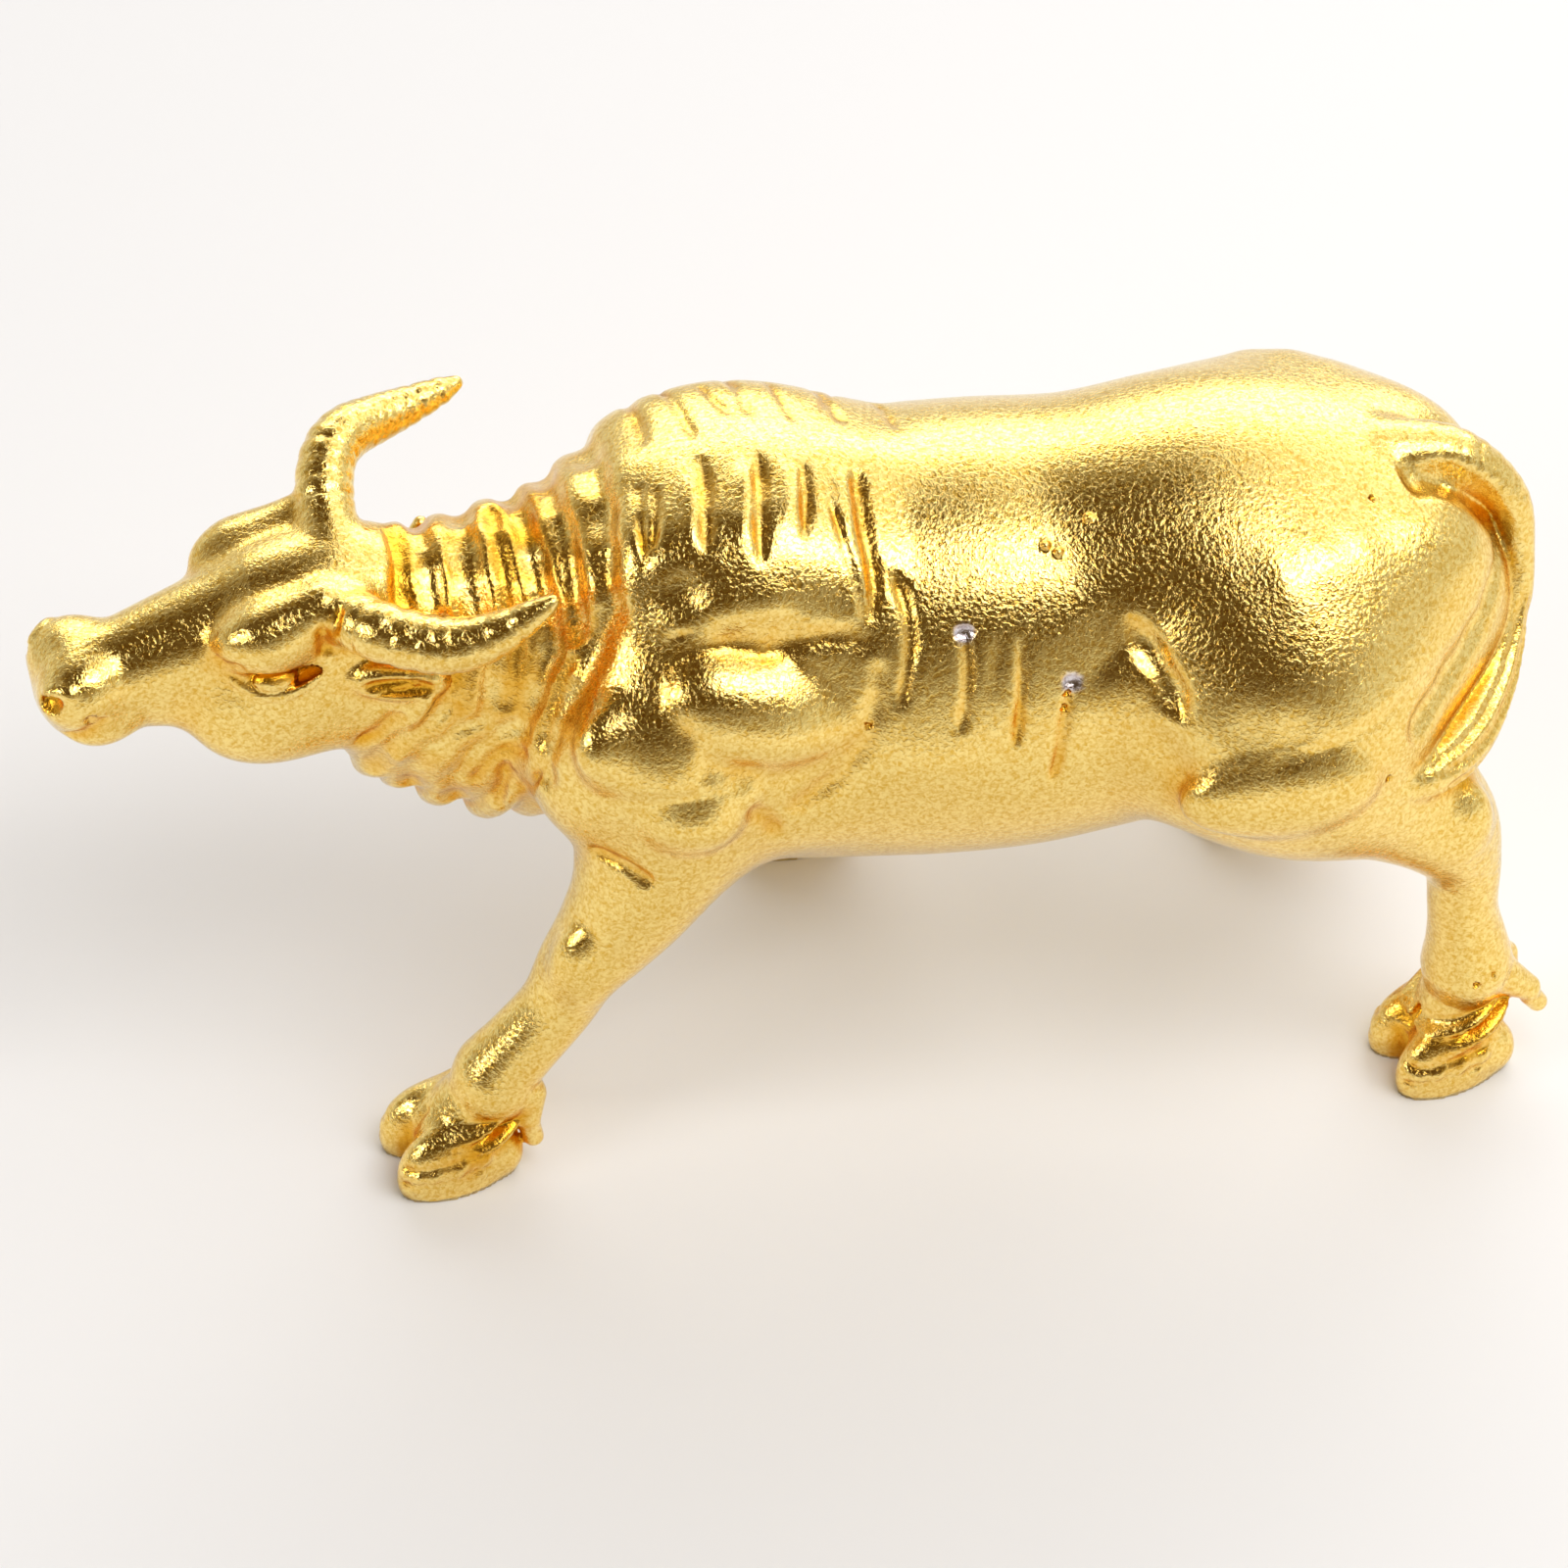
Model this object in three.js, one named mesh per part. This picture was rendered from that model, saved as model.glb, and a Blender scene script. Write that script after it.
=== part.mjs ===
// A walking ox with ringed horns, cast in one solid piece and gilded: a desk figurine about 100 mm long.
// Millimetres, +Z up. The head points to -X, the animal's left flank faces -Y and the hooves stand on z = 0.
// The body is a field of distances: rounded masses and tapered tubes run into each other in it, folds and
// creases are pressed into it, and its zero surface is the cast skin.

import * as THREE from 'three';
import { SimplifyModifier } from 'three/addons/modifiers/SimplifyModifier.js';

// Driving sizes.
const BACK = 48.4;            // height of the back
const BELLY = 18.0;           // height of the belly
const BARREL_HALF = 14.2;     // half width of the barrel
const CHEST_X = -3.5;         // middle of the shoulders
const RUMP_X = 31.0;          // middle of the haunches
const POLL = [-28.4, -2.0, 43.5];     // crown of the head, between the horns
const HEAD_YAW = 12;          // degrees the head is turned to the animal's left
const HEAD_PITCH = 17;        // degrees the face slopes down

// Neck: places and half sizes of its masses, and the skin folds round it.
const NECK = [
  [[-11, 0, 33.2], [6, 9.5, 12.6]],
  [[-16, -0.3, 33.4], [5, 8.4, 11.9]],
  [[-20.5, -1, 34.1], [5, 7.4, 10.8]],
  [[-25, -1.8, 35.3], [5, 6.4, 9.3]],
];
const FOLD_PITCH = 1.62;      // distance from one neck fold to the next
const FOLD_HEIGHT = 0.42;     // how far a fold stands out at the crest of the neck
// Loose folds that hang under the throat: the x and the height of the middle of each.
const DEWLAP_FOLDS = [[-27.5, 25.2], [-25.9, 24.1], [-23.4, 22.3], [-20.3, 20.9], [-17.5, 20.9]];

// Horns: forward, outward and upward from the poll, and radius. The casting's two horns differ a little.
const LEFT_HORN = [
  [-0.2, 1.5, -1.2, 2.0], [0.7, 4.0, -0.4, 1.95], [-0.4, 6.6, 0, 1.9], [-2.6, 8.4, -0.8, 1.85],
  [-5.0, 9.6, -1.5, 1.75], [-7.8, 10.2, -1.4, 1.4], [-10.6, 10.6, -0.6, 0.85], [-11.7, 10.7, -0.2, 0.45],
];
const RIGHT_HORN = [
  [0, 1.5, 0.8, 1.9], [-0.8, 4.6, 2.0, 1.8], [-1.9, 6.7, 2.6, 1.75], [-3.3, 8.1, 2.4, 1.7],
  [-5.2, 9.1, 1.6, 1.5], [-7.4, 9.8, 0.9, 1.2], [-9.9, 10.4, 0.4, 0.8], [-10.9, 10.6, 0.3, 0.5],
];
const HORN_RINGS = 19;        // rings that the whole length would hold; the tip third is smooth

// Legs from the body down to the fetlock: x, y, z and radius.
const LEFT_FORE = [
  [-8.0, -8.6, 34, 7.6], [-7.9, -9.8, 28, 6.0], [-10.1, -11.4, 22.8, 4.4], [-12.1, -12.0, 19.3, 3.5],
  [-14.2, -12.5, 16.3, 2.85], [-15.9, -12.9, 13.0, 2.5], [-18.2, -13.4, 10.1, 2.55], [-20.0, -13.7, 7.9, 2.75],
];
const LEFT_HIND = [
  [31.5, -8.0, 35.6, 9.6], [33.6, -9.2, 30.6, 7.5], [38.3, -9.8, 26.9, 5.2], [42.0, -9.8, 23.4, 3.9],
  [43.9, -9.7, 19.4, 2.65], [44.3, -9.7, 15, 2.35], [44.8, -9.6, 11.5, 2.7], [45.0, -9.6, 9.6, 3.05],
];
const RIGHT_FORE = [
  [-6, 9.0, 34, 7.5], [-4, 10.2, 28, 5.6], [-2.4, 12, 21.5, 3.8],
  [-0.6, 13.6, 15, 2.7], [1.4, 14.6, 10, 2.3], [3.2, 15.2, 7.4, 2.8],
];
const RIGHT_HIND = [
  [33.0, 8.0, 35.6, 9.2], [33.0, 9.8, 31, 6.6], [34.6, 11.6, 26, 4.1],
  [37.6, 13.0, 20.8, 2.9], [37.0, 14.2, 12.8, 2.2], [36.2, 14.8, 8.2, 2.8],
];

// Feet: middle of the hoof on the ground, its yaw, the fetlock above it with its radius, the tip of a
// dewclaw forward and upward from the fetlock, and the dewclaw's radius where it starts.
const FEET = [
  { hoof: [-23.2, -14.0], yaw: 15, fetlock: [-20.2, -13.8, 7.1], radius: 2.85, claw: [-2.2, -4.6], start: 1.15 },
  { hoof: [43.9, -9.4], yaw: 18, fetlock: [45.0, -9.4, 8.9], radius: 2.95, claw: [-4.9, -4.1], start: 1.35 },
  { hoof: [1.6, 15.8], yaw: 4, fetlock: [3.4, 15.3, 6.9], radius: 2.9, claw: [-2.6, -4.0], start: 1.25 },
  { hoof: [34.2, 15.2], yaw: 4, fetlock: [36.1, 14.9, 7.6], radius: 2.9, claw: [-3.8, -3.8], start: 1.3 },
];
const TOE_HALF = [4.2, 2.1, 3.9];     // half length, half width and half height of a toe
const TOE_APART = 1.85;               // a toe's middle from the middle of the hoof

// Tail: it leaves the top of the rump, hangs and curls round to the left haunch.
const TAIL = [
  [38, 0, 46.0, 3.0], [42.8, -0.3, 46.0, 2.2], [46.4, -0.9, 43.2, 1.45], [47.2, -1.8, 39.0, 1.2],
  [46.8, -3.4, 35.1, 1.4], [45.4, -6.4, 32.4, 1.8], [43.2, -9.9, 31.0, 2.1], [40.6, -12.9, 30.8, 1.75],
  [37.4, -15.2, 31.4, 0.55],
];

// Creases of both flanks, as seen from 45 degrees above each flank: points [x, slant height], where the
// slant height of a point is (z + y) / sqrt 2 on the left; then half width and depth.
const CREASES = [
  { line: [[-9.2, 35.7], [-9.3, 31.5], [-9.1, 28.0]], half: 0.5, depth: 0.5 },
  { line: [[-7.8, 35.9], [-8.2, 32.7], [-8.8, 29.1]], half: 0.45, depth: 0.5 },
  { line: [[-7.0, 38.5], [-5.2, 35.9], [-5.4, 28.9]], half: 0.5, depth: 0.55 },
  { line: [[-3.6, 38.5], [-1.7, 34.5], [-2.0, 28.4]], half: 0.5, depth: 0.55 },
  { line: [[-0.2, 38.0], [1.1, 35.9], [0.8, 29.3]], half: 0.45, depth: 0.5 },
  { line: [[3.2, 37.7], [4.6, 34.5], [4.5, 29.3], [5.1, 26.4], [4.9, 23.4]], half: 0.45, depth: 0.4 },
  { line: [[6.4, 27.6], [7.3, 23.3], [7.0, 20.7], [6.5, 17.9]], half: 0.4, depth: 0.5 },
  { line: [[10.7, 22.5], [10.7, 19.4], [10.4, 17.0]], half: 0.35, depth: 0.45 },
  { line: [[14.1, 22.0], [14.1, 18.6], [13.7, 15.4]], half: 0.35, depth: 0.45 },
  { line: [[17.2, 19.1], [16.7, 16.7], [16.2, 13.5]], half: 0.4, depth: 0.45 },
  { line: [[21.4, 23.1], [22.8, 20.8], [25.1, 17.1]], half: 0.85, depth: 1.3 },
  { line: [[-7.7, 17.2], [-5.8, 19.9], [-1.7, 22.3], [3.0, 22.7], [4.4, 21.7]], half: 0.6, depth: 0.45 },
  { line: [[5.0, 20.3], [4.0, 16.0], [2.3, 14.1], [-1.0, 11.8]], half: 1.1, depth: 0.5 },
  { line: [[-13.1, 10.4], [-11.8, 9.2], [-9.6, 7.7]], half: 0.45, depth: 0.8 },
  { line: [[-3.2, 12.6], [-2.1, 11.6], [-1.5, 10.3]], half: 0.6, depth: 0.7 },
  { line: [[-12.3, 35.4], [-11.6, 29.1], [-11.2, 25.3], [-12.7, 21.8], [-15.6, 16.7]], half: 0.75, depth: 0.9 },
];

// Sampling: the field's grid, and how many triangles are kept of the fine skin that it gives.
const CELL = 0.62;
const GRID = [[-50.2, 52], [-20, 21.5], [-1, 52]];
const TRIANGLES = 9800;

// Three unit vectors, forward, left and up, of something that faces -X before it is turned to the left by
// yaw, nods down by pitch and leans by roll, in degrees.
function axes(yaw = 0, pitch = 0, roll = 0) {
  const y = THREE.MathUtils.degToRad(yaw);
  const p = THREE.MathUtils.degToRad(pitch);
  const r = THREE.MathUtils.degToRad(roll);
  const forward = new THREE.Vector3(-Math.cos(y) * Math.cos(p), -Math.sin(y) * Math.cos(p), -Math.sin(p));
  const side = new THREE.Vector3(Math.sin(y), -Math.cos(y), 0);
  const top = new THREE.Vector3().crossVectors(forward, side);
  const left = side.clone().multiplyScalar(Math.cos(r)).addScaledVector(top, Math.sin(r));
  const up = top.clone().multiplyScalar(Math.cos(r)).addScaledVector(side, -Math.sin(r));
  return [forward, left, up];
}

// A point that lies forward, left and up of an origin, in the directions of a frame of axes.
function along(origin, frame, forward, left, up) {
  return [0, 1, 2].map((i) => origin[i]
    + forward * frame[0].getComponent(i) + left * frame[1].getComponent(i) + up * frame[2].getComponent(i));
}

function smoothstep(from, to, value) {
  const t = Math.min(1, Math.max(0, (value - from) / (to - from)));
  return t * t * (3 - 2 * t);
}

// The grid of distances. Inside the metal they are below zero.
class Field {
  constructor() {
    this.lines = GRID.map(([start, end]) => {
      const steps = Math.ceil((end - start) / CELL);
      return Array.from({ length: steps + 1 }, (_, n) => start + CELL * n);
    });
    this.size = this.lines.map((line) => line.length);
    this.value = new Float32Array(this.size[0] * this.size[1] * this.size[2]).fill(20);
  }

  index(i, j, k) {
    return (i * this.size[1] + j) * this.size[2] + k;
  }

  // Calls change(x, y, z, value) for each grid point of a box and keeps what it returns.
  inBox(low, high, change) {
    const [X, Y, Z] = this.lines;
    for (let i = 0; i < X.length; i++) {
      if (X[i] < low[0] || X[i] > high[0]) continue;
      for (let j = 0; j < Y.length; j++) {
        if (Y[j] < low[1] || Y[j] > high[1]) continue;
        for (let k = 0; k < Z.length; k++) {
          if (Z[k] < low[2] || Z[k] > high[2]) continue;
          const n = this.index(i, j, k);
          this.value[n] = change(X[i], Y[j], Z[k], this.value[n]);
        }
      }
    }
  }
}

// Joins a distance to the field's value with a fillet of the given width, or cuts it away.
function blend(value, distance, fillet, cut = false) {
  if (cut) return -blend(-value, distance, fillet);
  if (fillet <= 0) return Math.min(value, distance);
  const h = Math.min(1, Math.max(0, 0.5 + (0.5 * (value - distance)) / fillet));
  return value + (distance - value) * h - fillet * h * (1 - h);
}

// An ellipsoid with half sizes along a frame of axes.
function mass(field, centre, half, fillet, frame = axes(), cut = false) {
  const reach = [0, 1, 2].map((i) => Math.hypot(...half.map((h, a) => frame[a].getComponent(i) * (h + fillet + 3))));
  const low = centre.map((c, i) => c - reach[i]);
  const high = centre.map((c, i) => c + reach[i]);
  const square = half.map((h) => h * h);
  field.inBox(low, high, (x, y, z, value) => {
    const d = [x - centre[0], y - centre[1], z - centre[2]];
    const q = frame.map((axis) => axis.x * d[0] + axis.y * d[1] + axis.z * d[2]);
    const near = Math.hypot(q[0] / half[0], q[1] / half[1], q[2] / half[2]);
    const slope = Math.hypot(q[0] / square[0], q[1] / square[1], q[2] / square[2]) + 1e-9;
    return blend(value, (near * (near - 1)) / slope, fillet, cut);
  });
}

// Distance from a point to a tapered bone between two points [x, y, z, radius].
function boneDistance(x, y, z, a, b) {
  const ab = [b[0] - a[0], b[1] - a[1], b[2] - a[2]];
  const square = ab[0] * ab[0] + ab[1] * ab[1] + ab[2] * ab[2] + 1e-12;
  const dot = (x - a[0]) * ab[0] + (y - a[1]) * ab[1] + (z - a[2]) * ab[2];
  const t = Math.min(1, Math.max(0, dot / square));
  return Math.hypot(x - a[0] - t * ab[0], y - a[1] - t * ab[1], z - a[2] - t * ab[2])
    - (a[3] + (b[3] - a[3]) * t);
}

// A chain of tapered bones, one body before it is joined or cut.
function chain(field, points, fillet, cut = false) {
  const reach = Math.max(...points.map((p) => p[3])) + fillet + 3;
  const low = [0, 1, 2].map((i) => Math.min(...points.map((p) => p[i])) - reach);
  const high = [0, 1, 2].map((i) => Math.max(...points.map((p) => p[i])) + reach);
  field.inBox(low, high, (x, y, z, value) => {
    let distance = Infinity;
    for (let n = 1; n < points.length; n++) {
      distance = Math.min(distance, boneDistance(x, y, z, points[n - 1], points[n]));
    }
    return blend(value, distance, fillet, cut);
  });
}

// Points on a smooth curve through the given points, radius included.
function curve(points, steps) {
  const padded = [
    points[0].map((v, i) => 2 * v - points[1][i]),
    ...points,
    points.at(-1).map((v, i) => 2 * v - points.at(-2)[i]),
  ];
  return Array.from({ length: steps }, (_, n) => {
    const s = (n / (steps - 1)) * (points.length - 1 - 1e-9);
    const [a, b, c, d] = padded.slice(Math.floor(s), Math.floor(s) + 4);
    const t = s % 1;
    return b.map((v, i) => 0.5 * (2 * v + (c[i] - a[i]) * t
      + (2 * a[i] - 5 * v + 4 * c[i] - d[i]) * t * t + (3 * v - a[i] - 3 * c[i] + d[i]) * t ** 3));
  });
}

// Barrel, shoulders with the withers, and haunches with the rump.
function trunk(field) {
  const middle = (BACK + BELLY) / 2;
  mass(field, [8.5, 0, middle], [20, BARREL_HALF, (BACK - BELLY) / 2], 1);
  mass(field, [19, 0, middle + 0.7], [14, BARREL_HALF - 1.5, 13.5], 5);
  mass(field, [CHEST_X, 0, middle - 0.2], [11.5, 11.8, 14.2], 6);
  mass(field, [CHEST_X + 0.5, 0, BACK - 5.0], [12, 5.2, 6.6], 3);
  mass(field, [RUMP_X, 0, 35.7], [16.5, 13.0, 12.8], 6);
  mass(field, [RUMP_X - 1.7, 0, BACK - 6.0], [12.1, 10.5, 7.3], 4);
  for (const side of [1, -1]) {
    mass(field, [CHEST_X - 0.4, 4.7 * side, BACK - 6.3], [10.2, 5.7, 7.2], 3.5, axes(0, 0, 10 * side));
    mass(field, [RUMP_X + 7.2, 4.5 * side, BACK - 6.8], [6.4, 4.2, 5.0], 3, axes(0, 0, 15 * side));
    mass(field, [RUMP_X - 1, 10.4 * side, 31.9], [8.0, 5.5, 6.1], 3.5);
  }
}

function neck(field) {
  for (const [centre, half] of NECK) mass(field, centre, half, 3.5, axes(6, -10));
}

// Skull, jaw, cheeks, muzzle, brows, eyes, nostrils and ears, in the head's own axes.
function head(field) {
  const frame = axes(HEAD_YAW, HEAD_PITCH);
  const at = (forward, left, up) => along(POLL, frame, forward, left, up);
  const add = (place, half, fillet, { cut = false, yaw = 0, pitch = 0 } = {}) => {
    mass(field, at(...place), half, fillet, axes(HEAD_YAW + yaw, HEAD_PITCH + pitch), cut);
  };
  add([2, 0, -3], [6.0, 5.3, 5.6], 2);
  add([6, 0, -6.6], [7.4, 4.2, 5.2], 2.5);
  chain(field, [[...at(6, 0, -1.6), 4.3], [...at(17, 0, -0.7), 2.9]], 2.5);
  chain(field, [[...at(8, 0, -5.3), 3.5], [...at(17, 0, -2.8), 2.2]], 2);
  add([18.3, 0, -1.1], [3.0, 3.5, 3.4], 2);
  for (const side of [1, -1]) {
    add([6.2, 2.9 * side, -6.6], [6.4, 2.9, 4.6], 2.2);
    add([6.0, 4.1 * side, 0.3], [3.1, 1.9, 2.1], 1.7, { pitch: -14 });
    chain(field, [[...at(5.6, 4.4 * side, 0.5), 1.6], [...at(1.8, 4.2 * side, 1.0), 1.5]], 1.6);
    add([18.4, 2.2 * side, 0.6], [2.3, 1.7, 1.8], 1.5);
    add([17.6, 1.7 * side, -3.0], [2.2, 1.5, 1.4], 1);
    add([6.4, 5.3 * side, -2.3], [3.2, 1.1, 0.95], 0.3, { cut: true, yaw: 10 * side, pitch: -18 });
    add([6.4, 4.3 * side, -2.4], [1.45, 0.95, 0.9], 0.15, { pitch: -18 });
    add([20.2, 3.4 * side, 1.3], [1.0, 1.0, 0.55], 0.35, { cut: true, pitch: 30 });
    const ear = { yaw: -14 * side, pitch: -20 };
    add([-0.5, 6.2 * side, -5.7], [3.3, 1.15, 1.55], 0.4, ear);
    add([-0.3, 7.3 * side, -5.6], [2.6, 0.85, 0.85], 0.25, { ...ear, cut: true });
  }
}

// Horns swept out and back, with rings that fade before the smooth tip.
function horns(field) {
  const frame = axes(HEAD_YAW, HEAD_PITCH);
  for (const [side, horn] of [[1, LEFT_HORN], [-1, RIGHT_HORN]]) {
    const steps = 60;
    const points = curve(horn.map(([f, l, u, r]) => [...along(POLL, frame, f, l * side, u), r]), steps);
    points.forEach((point, n) => {
      const t = n / (steps - 1);
      const ringed = smoothstep(0.05, 0.11, t) * (1 - smoothstep(0.7, 0.8, t));
      point[3] *= 1 + 0.1 * ringed * (Math.abs(Math.sin(Math.PI * t * HORN_RINGS)) - 0.7);
    });
    chain(field, points, 0.7);
  }
}

function legs(field) {
  chain(field, curve(LEFT_FORE, 36), 4);
  chain(field, curve(LEFT_HIND, 36), 5);
  chain(field, curve(RIGHT_FORE, 30), 3.5);
  chain(field, curve(RIGHT_HIND, 34), 5);
  mass(field, [0.3, -9.2, 30.6], [5, 4, 5], 2.5);
  mass(field, [-12.6, -9.6, 31.6], [4.2, 4.2, 5.5], 2);
  mass(field, [-12.6, 9.6, 31.6], [4.2, 4.2, 5.5], 2);
}

// Fetlock, pastern with its rolled coronet, two toes with a cleft between them, and two dewclaws behind.
function foot(field, { hoof, yaw, fetlock, radius, claw, start }) {
  const frame = axes(yaw);
  const at = (forward, left, up) => along([hoof[0], hoof[1], 0], frame, forward, left, up);
  const behind = (forward, left, up) => along(fetlock, frame, forward, left, up);
  chain(field, [[...fetlock, radius * 0.8], [...at(-0.3, 0, 3.2), 2.7]], 0.6);
  const pastern = at(0.1, 0, 1.9).map((v, i) => v + 0.45 * (fetlock[i] - (hoof[i] ?? 0)));
  mass(field, pastern, [3.3, 3.35, 0.62], 0.3, axes(yaw, 26));
  mass(field, along(pastern, frame, -0.35, 0, -1.15), [3.75, 3.75, 0.75], 0.3, axes(yaw, 24));
  for (const side of [1, -1]) {
    mass(field, at(0.2, TOE_APART * side, 1.4), TOE_HALF, 0.7, axes(yaw + 5 * side, 14));
    mass(field, at(-2.9, 1.7 * side, 1.5), [1.5, 1.6, 1.9], 0.5, frame);
  }
  chain(field, [[...at(5.4, 0, 0.2), 0.45], [...at(1.8, 0, 5.2), 0.35]], 0.25, true);
  mass(field, fetlock, [radius, radius, radius * 1.03], 0.35, frame);
  for (const side of [1, -1]) {
    chain(field, [
      [...behind(-radius * 0.72, 1.3 * side, -0.7), start],
      [...behind(claw[0], 1.55 * side, claw[1]), 0.62],
    ], 0.8);
  }
}

// Rings of skin round the neck: upright on the crest, drawn forward below, and fading into the shoulder.
function neckFolds(field) {
  const frame = axes(HEAD_YAW, HEAD_PITCH);
  field.inBox([-30, -14, 18], [-8, 14, 54], (x, y, z, value) => {
    const station = x - 0.16 * Math.abs(y) + 0.34 * Math.max(0, 33 - z) + 0.1 * Math.max(0, z - 36)
      + 0.2 * Math.sin(0.55 * z);
    const last = -12.0 - 4.2 * smoothstep(37, 30, z);
    const ahead = (x - POLL[0]) * frame[0].x + (y - POLL[1]) * frame[0].y + (z - POLL[2]) * frame[0].z;
    const there = smoothstep(-28, -25.5, station) * (1 - smoothstep(last - 1.2, last, station))
      * smoothstep(-0.5, -3.5, ahead) * smoothstep(20, 24, z);
    const height = FOLD_HEIGHT + 0.3 * smoothstep(33, 27, z);
    const ridge = Math.abs(Math.sin((Math.PI * (station + 28)) / FOLD_PITCH)) ** 0.75 - 0.55;
    return value - there * height * ridge;
  });
}

// Loose folds that run down the sides of the throat and meet under it.
function dewlap(field) {
  mass(field, [-22.0, -0.4, 28.6], [7, 6.2, 3.8], 1, axes(6, -23));
  for (const [x, dip] of DEWLAP_FOLDS) {
    for (const side of [1, -1]) {
      chain(field, curve([
        [x + 4.3, -8.2 * side, dip + 11.8, 0.5],
        [x + 2.1, -7.2 * side, dip + 6.8, 1.0],
        [x + 0.5, -4.2 * side, dip + 2.8, 1.3],
        [x, -1.0, dip + 1.0, 1.15],
      ], 12), 0.35);
    }
  }
}

// Presses one crease into both flanks. Its section is a bell curve, and it runs out at both ends.
function crease(field, { line, half, depth }) {
  const margin = 2.5 * half;
  const xs = line.map((p) => p[0]);
  for (const side of [1, -1]) {
    const low = [Math.min(...xs) - margin, side > 0 ? -20 : -3, 5];
    const high = [Math.max(...xs) + margin, side > 0 ? 3 : 20, 56];
    field.inBox(low, high, (x, y, z, value) => {
      const slant = (z + side * y) * Math.SQRT1_2;
      let press = 0;
      for (let n = 1; n < line.length; n++) {
        const [ax, as] = line[n - 1];
        const [bx, bs] = [line[n][0] - ax, line[n][1] - as];
        const t = Math.min(1, Math.max(0, ((x - ax) * bx + (slant - as) * bs) / (bx * bx + bs * bs)));
        const square = (x - ax - t * bx) ** 2 + (slant - as - t * bs) ** 2;
        const done = (n - 1 + t) / (line.length - 1);
        const taper = Math.sqrt(4 * done * (1 - done));
        const width = half * (0.5 + 0.5 * taper);
        press = Math.max(press, taper * Math.exp(-square / (width * width)));
      }
      return value + depth * press;
    });
  }
}

// Flips the sign of single grid points until no cell face has its corners inside and outside crosswise,
// and no cell only at two opposite corners, so that the skin never touches itself along an edge or a point.
function tidySigns(field) {
  const [nx, ny, nz] = field.size;
  const steps = [[1, 0, 0], [0, 1, 0], [0, 0, 1]];
  const fill = (...indices) => {
    const outside = indices.filter((n) => field.value[n] >= 0);
    const nearest = outside.reduce((a, b) => (field.value[a] <= field.value[b] ? a : b));
    field.value[nearest] = -0.02;
  };
  for (let changed = true; changed;) {
    changed = false;
    for (let i = 0; i < nx - 1; i++) {
      for (let j = 0; j < ny - 1; j++) {
        for (let k = 0; k < nz - 1; k++) {
          const inside = (n) => field.value[n] < 0;
          for (let a = 0; a < 3; a++) {
            const u = steps[(a + 1) % 3];
            const v = steps[(a + 2) % 3];
            const p = field.index(i, j, k);
            const q = field.index(i + u[0], j + u[1], k + u[2]);
            const r = field.index(i + v[0], j + v[1], k + v[2]);
            const s = field.index(i + u[0] + v[0], j + u[1] + v[1], k + u[2] + v[2]);
            if (inside(p) === inside(s) && inside(q) === inside(r) && inside(p) !== inside(q)) {
              fill(p, q, r, s);
              changed = true;
            }
          }
          const corners = [];
          for (let c = 0; c < 8; c++) corners.push(field.index(i + (c >> 2), j + ((c >> 1) & 1), k + (c & 1)));
          const full = corners.filter(inside).length;
          for (let c = 0; c < 4; c++) {
            const pair = [corners[c], corners[7 - c]];
            if ((full === 2 && pair.every(inside)) || (full === 6 && !pair.some(inside))) {
              fill(...corners);
              changed = true;
              break;
            }
          }
        }
      }
    }
  }
}

// The zero surface: one point in every cell that the surface passes through, and a square of two
// triangles across every grid edge that it crosses.
function skin(field) {
  const [nx, ny, nz] = field.size;
  const cellPoint = new Map();
  const position = [];
  for (let i = 0; i < nx - 1; i++) {
    for (let j = 0; j < ny - 1; j++) {
      for (let k = 0; k < nz - 1; k++) {
        const sum = [0, 0, 0];
        let count = 0;
        for (let c = 0; c < 8; c++) {
          const a = [c >> 2, (c >> 1) & 1, c & 1];
          const va = field.value[field.index(i + a[0], j + a[1], k + a[2])];
          for (let axis = 0; axis < 3; axis++) {
            if (a[axis]) continue;
            const b = [...a];
            b[axis] = 1;
            const vb = field.value[field.index(i + b[0], j + b[1], k + b[2])];
            if (va < 0 === vb < 0) continue;
            const point = [...a];
            point[axis] = va / (va - vb);
            point.forEach((v, n) => { sum[n] += v; });
            count += 1;
          }
        }
        if (count === 0) continue;
        cellPoint.set(field.index(i, j, k), position.length / 3);
        [i, j, k].forEach((start, axis) => {
          const line = field.lines[axis];
          position.push(line[start] + ((line[start + 1] - line[start]) * sum[axis]) / count);
        });
      }
    }
  }
  const triangles = [];
  const step = [[1, 0, 0], [0, 1, 0], [0, 0, 1]];
  for (let i = 0; i < nx - 1; i++) {
    for (let j = 0; j < ny - 1; j++) {
      for (let k = 0; k < nz - 1; k++) {
        const here = field.value[field.index(i, j, k)] < 0;
        for (let axis = 0; axis < 3; axis++) {
          if ([i, j, k].some((n, other) => n === 0 && other !== axis)) continue;
          const next = field.value[field.index(i + step[axis][0], j + step[axis][1], k + step[axis][2])] < 0;
          if (here === next) continue;
          const u = step[(axis + 1) % 3];
          const v = step[(axis + 2) % 3];
          const square = [[1, 1], [0, 1], [0, 0], [1, 0]].map(([du, dv]) => cellPoint.get(field.index(
            i - du * u[0] - dv * v[0], j - du * u[1] - dv * v[1], k - du * u[2] - dv * v[2])));
          if (!here) square.reverse();
          triangles.push(square[0], square[1], square[2], square[0], square[2], square[3]);
        }
      }
    }
  }
  const geometry = new THREE.BufferGeometry();
  geometry.setAttribute('position', new THREE.Float32BufferAttribute(position, 3));
  geometry.setIndex(triangles);
  return geometry;
}

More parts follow.
